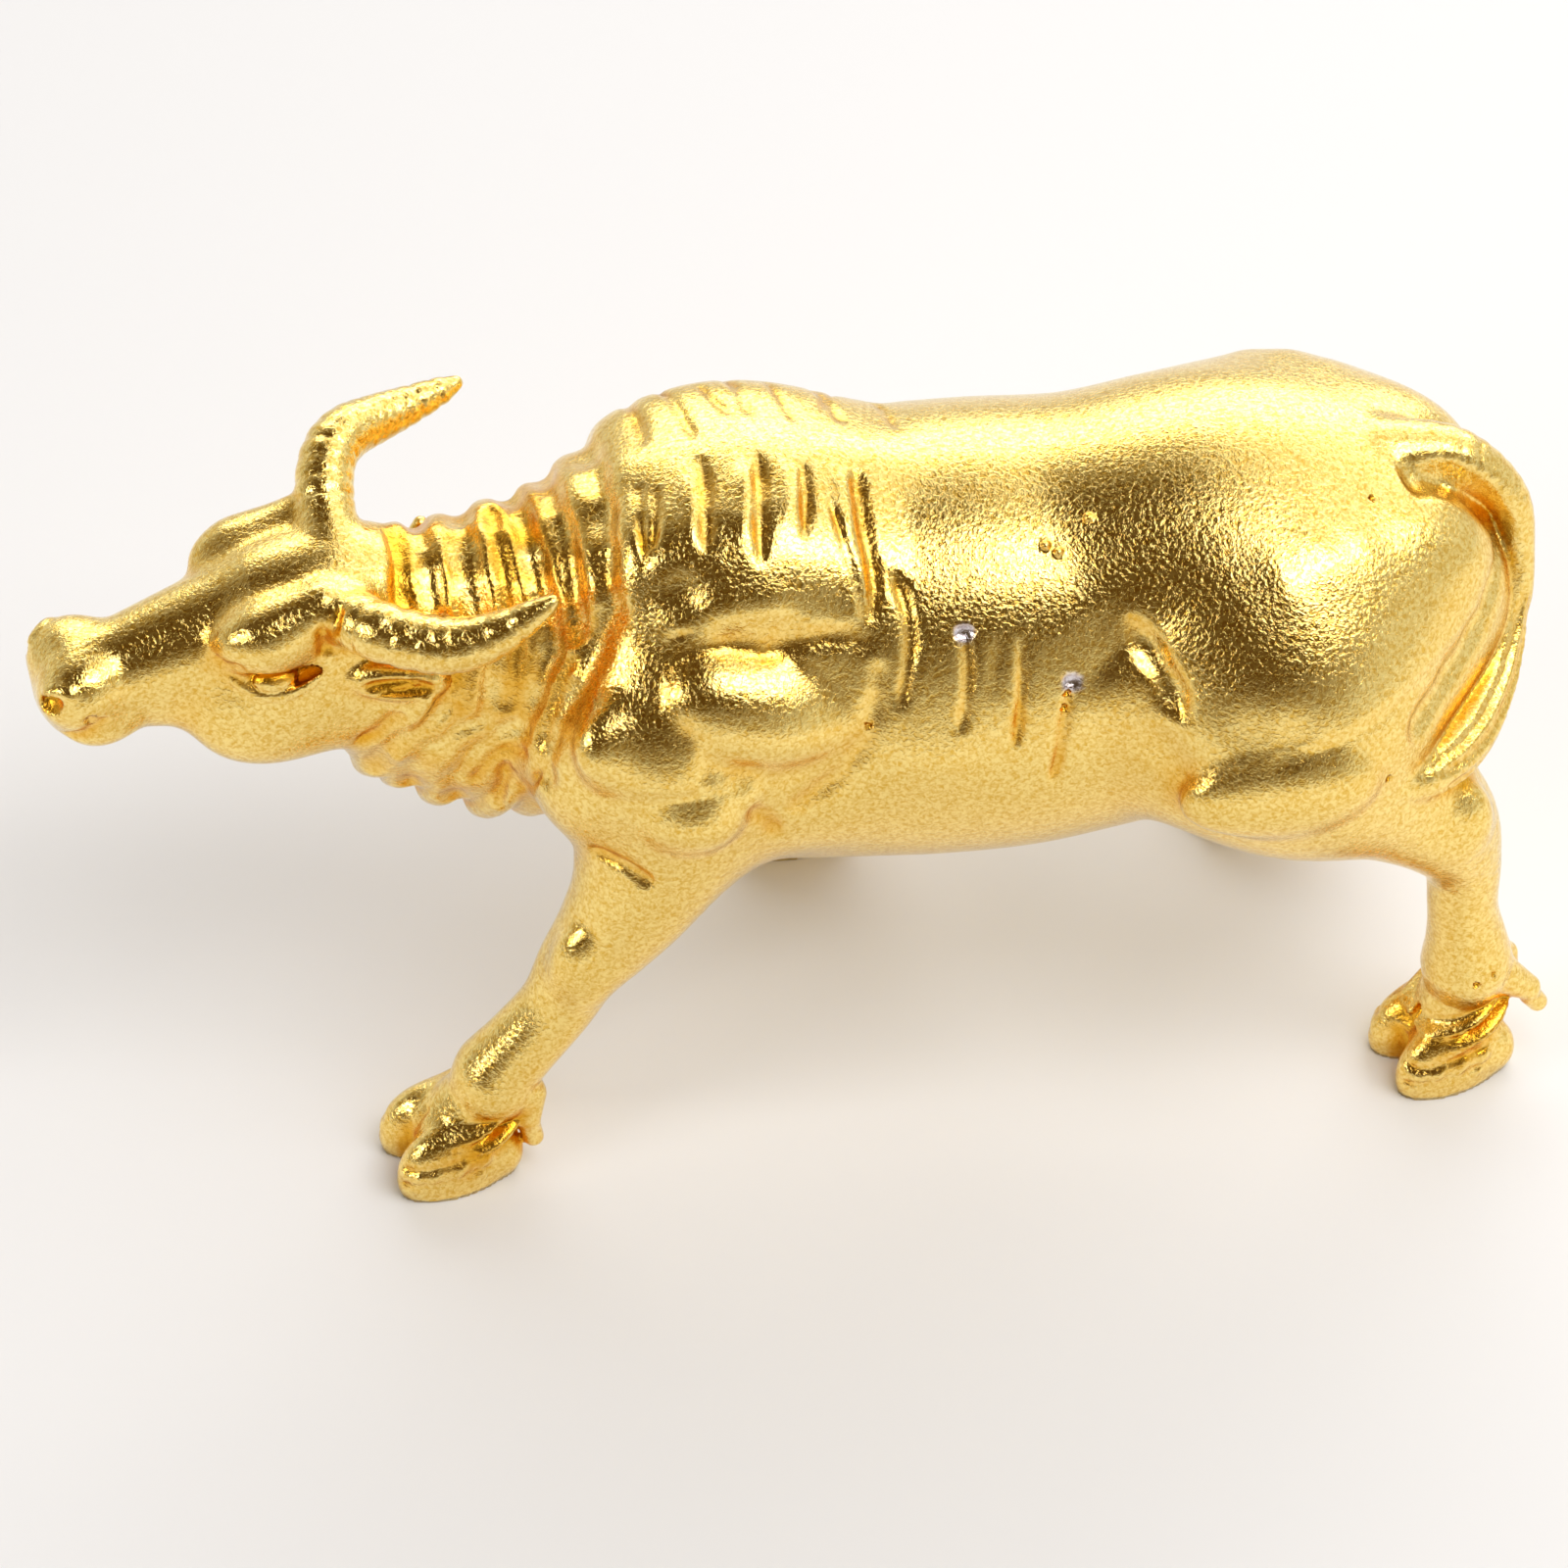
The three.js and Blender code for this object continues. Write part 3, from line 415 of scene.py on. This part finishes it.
draw_on_head((
    ([(9.4, 4.2, -1.3), (8.2, 4.8, -3.0), (6.8, 5.2, -3.7), (5.2, 5.4, -3.8), (3.5, 5.4, -3.2)],
     0.32, -0.3, 2, 0.8),                                                     # lower lid
    ([(9.8, 3.9, 0.4), (8.6, 4.6, 0.1), (7.4, 5.0, 0.2)], 0.45, 0.3, 2, 0.8),             # brow's front
    ([(2.2, 4.9, 1.0), (2.8, 5.2, -0.6), (3.0, 5.3, -2.2)], 0.45, 0.35, 2, 0.8),          # and back
    ([(20.9, 2.2, 2.0), (20.1, 3.0, 2.7), (18.9, 3.6, 2.3), (18.5, 3.8, 1.2)],
     0.4, -0.35, 2, 0.8),                                                     # rim of the nostril
    ([(20.3, 2.2, -2.2), (19.3, 3.3, -1.9), (18.3, 3.8, -1.3), (17.0, 3.9, -1.0)],
     0.4, 0.6, 1.6, 0.8),                                                     # mouth
    ([(18.6, 3.7, -0.7), (18.2, 3.8, -0.4), (17.9, 3.8, -0.2)], 0.35, 0.5, 2, 0.3),       # pit over it
))


# HORNS
# Swept out and back, ringed by growth to near the smooth tip. The two differ a little, as the master
# was carved by hand.
LEFT_HORN = [
    [-0.2, 1.5, -1.2, 2.0], [0.7, 4.0, -0.4, 1.95], [-0.4, 6.6, 0, 1.9], [-2.6, 8.4, -0.8, 1.85],
    [-5.0, 9.6, -1.5, 1.75], [-7.8, 10.2, -1.4, 1.4], [-10.6, 10.6, -0.6, 0.85], [-11.7, 10.7, -0.2, 0.45],
]
RIGHT_HORN = [
    [0, -1.5, 0.8, 1.9], [-0.8, -4.6, 2.0, 1.8], [-1.9, -6.7, 2.6, 1.75], [-3.3, -8.1, 2.4, 1.7],
    [-5.2, -9.1, 1.6, 1.5], [-7.4, -9.8, 0.9, 1.2], [-9.9, -10.4, 0.4, 0.8], [-10.9, -10.6, 0.3, 0.5],
]


def growth(rings, depth, first, last):
    """Waist of a ringed horn: at each of the rings it narrows by the depth times exp(-(f / 0.16)^2),
    with f the distance to the ring in ring spacings, between two shares of the horn's length. The
    rings wander by 0.3 sin(11 t) of a spacing."""
    def waist(t):
        f = rings * t + 0.3 * np.sin(11 * t)
        f -= np.round(f)
        ringed = smooth(first, first + 0.05, t) * (1 - smooth(last - 0.12, last, t))
        return depth * ringed * (np.exp(-(f / 0.16) ** 2) - 0.2)
    return waist


for horn, waist in ((LEFT_HORN, growth(14, 0.3, 0.16, 0.86)), (RIGHT_HORN, growth(17, 0.6, 0.06, 0.93))):
    add_chain(curve([[*at_head(*row[:3]), row[3]] for row in horn], 40), 0.7, waist=waist)
draw_on_head([([(3.2, 5.9, 0.2), (1.6, 6.4, 1.0), (0.4, 5.6, 2.0)], 0.35, 0.3, 2, 0.8)], [1])


# EARS
# Small pointed leaves that lie back under the horns, hollowed with a tool. A fold was left standing
# inside each.
for side in (1, -1):
    lie = axes(HEAD_YAW - 14 * side, HEAD_PITCH - 20)
    add_mass(at_head(-0.5, 6.2 * side, -5.7), [3.3, 1.15, 1.55], 0.4, lie)
    add_mass(at_head(-0.3, 7.3 * side, -5.6), [2.6, 0.85, 0.85], 0.25, lie, cut=True)
draw_on_head([([(1.6, 6.6, -5.4), (0, 6.9, -5.6), (-1.8, 7.2, -5.9)], 0.22, -0.3, 2, 0.5)])


# FEET
# Cloven hooves, ribbed and creased with a tool, under a rolled coronet. The fetlock swells over it like
# a cuff, with two drop-shaped dewclaws behind.
TOE_HALF = [4.2, 2.1, 3.9]
ribs, rings = [], []
for hoof, yaw, fetlock, radius, claw, drop in (
    ([-23.2, -14.0, 0], 15, [-20.2, -13.8, 7.1], 2.85, [-2.2, -4.6], 1.15),
    ([43.9, -9.4, 0], 18, [45.0, -9.4, 8.9], 2.95, [-4.9, -4.1], 1.35),
    ([1.6, 15.8, 0], 4, [3.4, 15.3, 6.9], 2.9, [-2.6, -4.0], 1.25),
    ([34.2, 15.2, 0], 4, [36.1, 14.9, 7.6], 2.9, [-3.8, -3.8], 1.3),
):
    turn = axes(yaw)
    hoof, fetlock = np.array(hoof), np.array(fetlock)
    pastern = hoof * 0.55 + fetlock * 0.45 + [0.1, 0, 1.9] @ turn
    add_chain([[*fetlock, radius * 0.8], [*(hoof + [-0.3, 0, 3.2] @ turn), 2.7]], 0.6)
    add_mass(pastern, [3.3, 3.35, 0.62], 0.3, axes(yaw, 26))
    add_mass(pastern - [0.35, 0, 1.15] @ turn, [3.75, 3.75, 0.75], 0.3, axes(yaw, 24))
    for side in (1, -1):
        add_mass(hoof + [0.2, 1.85 * side, 1.4] @ turn, TOE_HALF, 0.7, axes(yaw + 5 * side, 14))
        add_mass(hoof + [-2.9, 1.7 * side, 1.5] @ turn, [1.5, 1.6, 1.9], 0.5, turn)
    cleft = [[*(hoof + [5.4, 0, 0.2] @ turn), 0.45], [*(hoof + [1.8, 0, 5.2] @ turn), 0.35]]
    add_chain(cleft, 0.25, cut=True)
    add_chain([[*(fetlock + [-1.4, 0, -1.6] @ turn), 1.7], [*(hoof + [-2.4, 0, 2.2] @ turn), 1.6]], 0.5)
    add_mass(fetlock, [radius, radius, radius * 1.03], 0.35, turn)
    for side in (1, -1):
        add_chain([
            [*(fetlock + [-radius * 0.72, 1.3 * side, -0.7] @ turn), drop],
            [*(fetlock + [claw[0] * 0.8, 1.7 * side, claw[1] * 0.55] @ turn), 0.9],
            [*(fetlock + [claw[0] * 0.85, 1.7 * side, claw[1] * 0.74] @ turn), 0.75],
            [*(fetlock + [claw[0] + 0.4 - 0.3 * side, 1.7 * side, claw[1] + 0.5 - 0.4 * side] @ turn), 0.7],
        ], 0.5)
        for place, lift in ((3.4, 3.0), (2.0, 3.5), (0.4, 3.7), (-1.2, 3.5)):
            top = hoof + [place - 0.6, 3.2 * side, lift] @ turn
            foot = hoof + [place + 0.6, 3.6 * side, lift - 2.2] @ turn
            ribs.append([top, (top + foot) / 2, foot])
        for lift in (1.6, 2.9):
            rings.append([hoof + [ahead, out * side, lift + rise] @ turn for ahead, out, rise in
                          ((5.2, 1.2, 0.0), (3.4, 3.6, 0.1), (0.6, 4.3, 0.4), (-2.4, 3.6, 0.6))])
for line in on_skin(ribs):
    add_line(line, 0.35, -0.2, 2, 0.8, 6)
for line in on_skin(rings):
    add_line(line, 0.3, 0.28, 1.8, 1.5, 10)


# TAIL
# It leaves the top of the rump, lies against it in a groove and curls round to the left haunch. It ends
# in a tuft, combed in four long strokes.
TAIL = [
    [38, 0, 46.0, 3.0], [42.8, -0.3, 46.0, 2.2], [46.4, -0.9, 43.2, 1.45], [47.2, -1.8, 39.0, 1.2],
    [46.8, -3.4, 35.1, 1.4], [45.4, -6.4, 32.4, 1.8], [43.2, -9.9, 31.0, 2.1], [40.6, -12.9, 30.8, 1.75],
    [37.4, -15.2, 31.4, 0.55],
]
add_chain(curve(TAIL, 40), 0.5)
draw_on_flank([([(38.8, 15), (41.6, 11), (43.6, 11), (45.1, 14), (45.7, 24), (45.2, 40), (43.6, 58),
                 (41.7, 69), (40.2, 75), (38.6, 81)], 0.85, 1.3, 1.6, 1.5, 24)], [1])
tuft = curve(TAIL, 40)[17:37, :3]
for line in on_skin([tuft + 1.2 * np.array([np.cos(lean), -0.35, np.sin(lean)])
                     for lean in (-0.9, -0.2, 0.5, 1.1)]):
    add_line(line, 0.28, 0.4, 1.7, 2.5, 14)


# SPOTS
# Faults of the casting and its plating: two chips on the ribs where the plating has come off, with pits
# beside the second, a few pinholes, and three beads of metal on the back left by bubbles in the mould.
CHIPS, HOLES, BEADS = on_skin([
    [[10.6, -10.8, 43.0], [17.35, -12.6, 39.9]],
    [[17.0, -12.7, 39.2], [16.8, -13.0, 38.2], [36.8, -5.6, 48.0], [37.4, -16.2, 33.5], [4.4, -13.1, 37.4],
     [45.2, -12.6, 10.0], [46.4, -12.2, 10.5]],
    [[18.8, -5.7, 47.6], [16.0, -7.0, 46.6], [16.8, -7.4, 46.3]],
])
OFF_SKIN = [0, -0.32, 0.24]       # the middle of a chip's cut stands off the skin, so the chip is shallow
for spot in CHIPS:
    add_mass(spot + OFF_SKIN, [0.85, 0.6, 0.6], 0.1, cut=True)
for spot in HOLES:
    add_mass(spot, [0.24, 0.24, 0.24], 0.05, cut=True)
for spot in BEADS:
    add_mass(spot, [0.3, 0.3, 0.3], 0.15)


# SKIN
# The outer face of the metal: one closed mesh over the whole casting, flat under the hooves, where it
# was ground to stand.
STEP = 0.26                       # grid spacing of the fine surface
COARSE = 4                        # fine steps in one coarse cell
BAND = 1.9                        # a coarse cell nearer the skin than this is worked out finely
LOW = np.array([-50.4, -20.0, -1.04])
CELLS = np.array([99, 41, 51])    # coarse cells along x, y and z
TRIANGLES = 196000                # what the surface is thinned to
SOLE = 0.2                        # points lower than this belong to the ground soles
CREEP = 0.12                      # the most that a point moves in one step towards the skin
TO_FRAME = np.array([-0.961, -0.722, 0.0])   # from the form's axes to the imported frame's


def fine_grid():
    """Values on the fine grid. They are worked out only in the coarse cells near the skin; elsewhere
    the coarse value is repeated, which has the right sign."""
    lines = [LOW[i] + STEP * COARSE * np.arange(CELLS[i] + 1) for i in range(3)]
    nodes = np.stack(np.meshgrid(*lines, indexing="ij"), -1).reshape(-1, 3)
    rough = distance(nodes).reshape(CELLS + 1)
    corner = rough[:-1, :-1, :-1]
    least, sure = np.abs(corner), corner
    for i, j, k in np.ndindex(2, 2, 2):
        other = rough[i:i + CELLS[0], j:j + CELLS[1], k:k + CELLS[2]]
        least = np.minimum(least, np.abs(other))
    near = least < BAND
    for axis in range(3):
        near, sure = np.repeat(near, COARSE, axis), np.repeat(sure, COARSE, axis)
    value = sure.copy()
    value[near] = distance(LOW + STEP * np.argwhere(near))
    return value


def untangle(value):
    """Fills grid points until no cell face has its corners inside and outside crosswise, so that the
    skin never touches itself along an edge."""
    while True:
        inside = value < 0
        tangled = np.zeros_like(inside)
        for u, v in ((0, 1), (0, 2), (1, 2)):
            def part(du, dv):
                cut = [slice(None)] * 3
                cut[u] = slice(du, value.shape[u] - 1 + du)
                cut[v] = slice(dv, value.shape[v] - 1 + dv)
                return tuple(cut)
            a, b, c, d = (inside[part(*p)] for p in ((0, 0), (1, 1), (0, 1), (1, 0)))
            cross = (a == b) & (c == d) & (a != c)
            for p in ((0, 0), (1, 1), (0, 1), (1, 0)):
                tangled[part(*p)] |= cross
        tangled &= ~inside
        if not tangled.any():
            return value
        value[tangled] = -0.01


def nets(value):
    """Surface nets: a point in each cell that the surface passes through, at the mean of its crossings
    of the cell's edges, and a four-sided face across each grid edge that it crosses."""
    inside = value < 0
    size = np.array(value.shape)
    count = sum(inside[i:size[0] - 1 + i, j:size[1] - 1 + j, k:size[2] - 1 + k].astype(np.int8)
                for i, j, k in np.ndindex(2, 2, 2))
    cell = np.argwhere((count > 0) & (count < 8))
    number = np.full(size - 1, -1)
    number[tuple(cell.T)] = np.arange(len(cell))
    total, crossings = np.zeros((len(cell), 3)), np.zeros(len(cell))
    for axis in range(3):
        for start in np.ndindex(2, 2, 2):
            if start[axis]:
                continue
            end = np.array(start)
            end[axis] = 1
            a, b = value[tuple((cell + start).T)], value[tuple((cell + end).T)]
            crossed = (a < 0) != (b < 0)
            spot = np.tile(np.array(start, float), (len(cell), 1))
            spot[:, axis] = np.where(crossed, a / np.where(crossed, a - b, 1), 0)
            total += spot * crossed[:, None]
            crossings += crossed
    points = LOW + STEP * (cell + total / crossings[:, None])
    faces = []
    for axis in range(3):
        u, v = (axis + 1) % 3, (axis + 2) % 3
        first = inside[tuple(slice(0, -1) if i == axis else slice(1, -1) for i in range(3))]
        second = inside[tuple(slice(1, None) if i == axis else slice(1, -1) for i in range(3))]
        for leaving in (True, False):
            edge = np.argwhere(first & ~second if leaving else ~first & second)
            edge[:, [u, v]] += 1
            ring = []
            for du, dv in ((1, 1), (0, 1), (0, 0), (1, 0)):
                at = edge.copy()
                at[:, u] -= du
                at[:, v] -= dv
                ring.append(number[tuple(at.T)])
            ring = np.stack(ring, 1)
            faces.append(ring if leaving else ring[:, ::-1])
    return points, np.concatenate(faces)


points, faces = nets(untangle(fine_grid()))
mesh = bpy.data.meshes.new("bull_casting")
mesh.vertices.add(len(points))
mesh.vertices.foreach_set("co", points.ravel())
mesh.loops.add(faces.size)
mesh.loops.foreach_set("vertex_index", faces.ravel())
mesh.polygons.add(len(faces))
mesh.polygons.foreach_set("loop_start", np.arange(0, faces.size, 4))
mesh.update(calc_edges=True)
bull = bpy.data.objects.new("bull_casting", mesh)
bpy.context.collection.objects.link(bull)

thin = bull.modifiers.new("thin", "DECIMATE")
thin.ratio = TRIANGLES / (2 * len(faces))
bpy.context.view_layer.update()
mesh = bpy.data.meshes.new_from_object(bull.evaluated_get(bpy.context.evaluated_depsgraph_get()))
bull.modifiers.clear()
bull.data = mesh

points = np.empty(len(mesh.vertices) * 3, np.float32)
mesh.vertices.foreach_get("co", points)
points = points.reshape(-1, 3).astype(float)
sole = points[:, 2] < SOLE
for _ in range(2):
    gradient = slope(points)
    length = np.linalg.norm(gradient, axis=1)
    move = np.clip(distance(points) / np.maximum(length, 0.5), -CREEP, CREEP) / np.maximum(length, 1e-6)
    points[~sole] -= (gradient * move[:, None])[~sole]
points[sole, 2] = 0
gradient = slope(points)
gradient[sole] = [0, 0, -1]
normals = gradient / np.linalg.norm(gradient, axis=1, keepdims=True)
mesh.vertices.foreach_set("co", ((points + TO_FRAME) / 1000).ravel())
mesh.polygons.foreach_set("use_smooth", np.ones(len(mesh.polygons), bool))
mesh.normals_split_custom_set_from_vertices(normals)
# recess: how far each point lies down in a fold. It drives painted shade and reflection, a deeper orange,
# in the base colour, and a rougher finish.
recess = np.maximum(*[smooth(0.06, 0.55, 1 - distance(points + reach * normals) / reach)
                      for reach in (0.6, 1.2)])
bare = smooth(0.85, 0.55, np.linalg.norm(points[:, None] - CHIPS, axis=2).min(1))
for name, amount in (("recess", recess), ("bare", bare)):
    mesh.attributes.new(name, "FLOAT", "POINT").data.foreach_set("value", amount.astype(np.float32))
mesh.update()
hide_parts("bull")
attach(bull, "root")


# GILDING
# Bright gold plate a few micrometres thick over a finely grained casting: paler on the high grain, rougher
# down in the folds, which also carry painted shade and reflection (the deeper orange of gold mirrored in
# gold), and worn through to the grey metal in two chips.
gilt = bpy.data.materials.new("gilt")
gilt.use_nodes = True
nodes, links = gilt.node_tree.nodes, gilt.node_tree.links
shader = nodes["Principled BSDF"]
shader.inputs["Metallic"].default_value = 1.0
place = nodes.new("ShaderNodeTexCoord")
grain = nodes.new("ShaderNodeTexNoise")
grain.inputs["Scale"].default_value = 3400
grain.inputs["Detail"].default_value = 3
grain.inputs["Roughness"].default_value = 0.6
grain.inputs["Distortion"].default_value = 0.7
links.new(place.outputs["Object"], grain.inputs["Vector"])
bump = nodes.new("ShaderNodeBump")
bump.inputs["Strength"].default_value = 1.0
bump.inputs["Distance"].default_value = 0.00005
links.new(grain.outputs["Fac"], bump.inputs["Height"])
links.new(bump.outputs["Normal"], shader.inputs["Normal"])


def ramp(source, low, high, first, second):
    """A colour ramp driven by a socket: the first colour up to low, then evenly to the second at high."""
    made = nodes.new("ShaderNodeValToRGB")
    made.color_ramp.elements[0].position, made.color_ramp.elements[1].position = low, high
    made.color_ramp.elements[0].color, made.color_ramp.elements[1].color = first, second
    links.new(source, made.inputs["Fac"])
    return made.outputs["Color"]


def stored(name):
    """The amount stored on the mesh under a name."""
    made = nodes.new("ShaderNodeAttribute")
    made.attribute_name = name
    return made.outputs["Fac"]


def mixed(factor, first, second):
    """The first colour where the factor is 0, the second where it is 1, and even steps between."""
    made = nodes.new("ShaderNodeMix")
    made.data_type = "RGBA"
    links.new(factor, made.inputs["Factor"])
    links.new(first, made.inputs["A"])
    links.new(second, made.inputs["B"])
    return made.outputs["Result"]


plate = ramp(grain.outputs["Fac"], 0.35, 0.6, (0.80, 0.49, 0.08, 1), (1.0, 0.77, 0.27, 1))
# Painted shade and reflection: the deeper orange of gold mirrored in gold down in the folds, painted into
# the colour.
painted_fold_reflection = ramp(grain.outputs["Fac"], 0.3, 0.7, (0.72, 0.33, 0.012, 1), (0.90, 0.50, 0.05, 1))
metal = ramp(grain.outputs["Fac"], 0.4, 0.6, (0.50, 0.42, 0.42, 1), (0.75, 0.70, 0.72, 1))
dulling = ramp(stored("recess"), 0.0, 1.0, (0.1, 0.1, 0.1, 1), (0.24, 0.24, 0.24, 1))
# Base colour: the grained plate, with the painted fold shade and reflection mixed in by recess, and the
# grey metal of the chips.
links.new(mixed(stored("bare"), mixed(stored("recess"), plate, painted_fold_reflection), metal), shader.inputs["Base Color"])
links.new(dulling, shader.inputs["Roughness"])
bull.data.materials.clear()
bull.data.materials.append(gilt)


# STUDIO
# A pale sheet to stand on, a soft bright sky all round but for the dim camera side, and four large soft
# panels. The camera looks down by 45 degrees and is 0.45 m away.
camera_turn, camera_lift = np.radians([-4.0, 45.0])
back = np.array([np.sin(camera_turn) * np.cos(camera_lift), -np.cos(camera_turn) * np.cos(camera_lift),
                 np.sin(camera_lift)])
right = np.array([np.cos(camera_turn), np.sin(camera_turn), 0.0])
up = np.cross(back, right)
target = (np.array([0, 0, 19.5]) + TO_FRAME) / 1000
camera = bpy.data.objects.new("camera", bpy.data.cameras.new("camera"))
camera.data.lens = 155.7
camera.data.sensor_width = 36
camera.data.clip_start = 0.01
camera.matrix_world = Matrix([[*row, place] for row, place in zip(np.array([right, up, back]).T,
                                                                  target + 0.45 * back)] + [[0, 0, 0, 1]])
bpy.context.collection.objects.link(camera)
bpy.context.scene.camera = camera

floor_mesh = bpy.data.meshes.new("floor")
floor_mesh.from_pydata([(-3, -3, 0), (3, -3, 0), (3, 3, 0), (-3, 3, 0)], [], [(0, 1, 2, 3)])
floor = bpy.data.objects.new("floor", floor_mesh)
bpy.context.collection.objects.link(floor)
sheet = bpy.data.materials.new("sheet")
sheet.use_nodes = True
sheet.node_tree.nodes["Principled BSDF"].inputs["Base Color"].default_value = (0.78, 0.78, 0.79, 1)
sheet.node_tree.nodes["Principled BSDF"].inputs["Roughness"].default_value = 0.9
floor.data.materials.append(sheet)


def panel(name, place, away, width, height, power):
    """A soft rectangular light at a place. Its Z axis points along away, so that it shines the other way,
    and its X axis is square to away and to the Y axis."""
    light = bpy.data.lights.new(name, "AREA")
    light.shape = "RECTANGLE"
    light.size, light.size_y = width, height
    light.energy = power
    made = bpy.data.objects.new(name, light)
    away = np.array(away, float) / np.linalg.norm(away)
    across = np.cross([0, 1.0, 0], away)
    across /= np.linalg.norm(across)
    made.matrix_world = Matrix([[*row, spot] for row, spot in zip(
        np.array([across, np.cross(away, across), away]).T, place)] + [[0, 0, 0, 1]])
    bpy.context.collection.objects.link(made)


panel("panel_key", [0.275, -0.20, 0.50], [0, 0, 1], 0.50, 0.31, 2.4)
panel("panel_soft", [0.335, 0.29, 0.50], [0, 0, 1], 0.60, 0.64, 1.0)
panel("panel_back", [0.10, 0.55, 0.36], [0.10, 0.55, 0.34], 0.9, 0.3, 2.2)
panel("panel_left", [-0.40, -0.18, 0.26], [-0.40, -0.18, 0.24], 0.16, 0.2, 0.6)

world = bpy.data.worlds.new("studio")
bpy.context.scene.world = world
world.use_nodes = True
nodes, links = world.node_tree.nodes, world.node_tree.links
sky = nodes["Background"]
looking = nodes.new("ShaderNodeTexCoord")
overhead = nodes.new("ShaderNodeVectorMath")
overhead.operation = "DOT_PRODUCT"
overhead.inputs[1].default_value = (-0.30, -0.45, 0.84)
fade = nodes.new("ShaderNodeValToRGB")
fade.color_ramp.interpolation = "EASE"
fade.color_ramp.elements[0].position = 0.15
fade.color_ramp.elements[0].color = (0.8, 0.8, 0.8, 1)
fade.color_ramp.elements[1].position = 0.77
fade.color_ramp.elements[1].color = (0.12, 0.08, 0.04, 1)
for position, color in ((0.42, (0.42, 0.38, 0.32, 1)), (0.66, (0.33, 0.28, 0.21, 1))):
    fade.color_ramp.elements.new(position).color = color
links.new(looking.outputs["Generated"], overhead.inputs[0])
links.new(overhead.outputs["Value"], fade.inputs["Fac"])
links.new(fade.outputs["Color"], sky.inputs["Color"])
bpy.context.scene.view_settings.view_transform = "Standard"
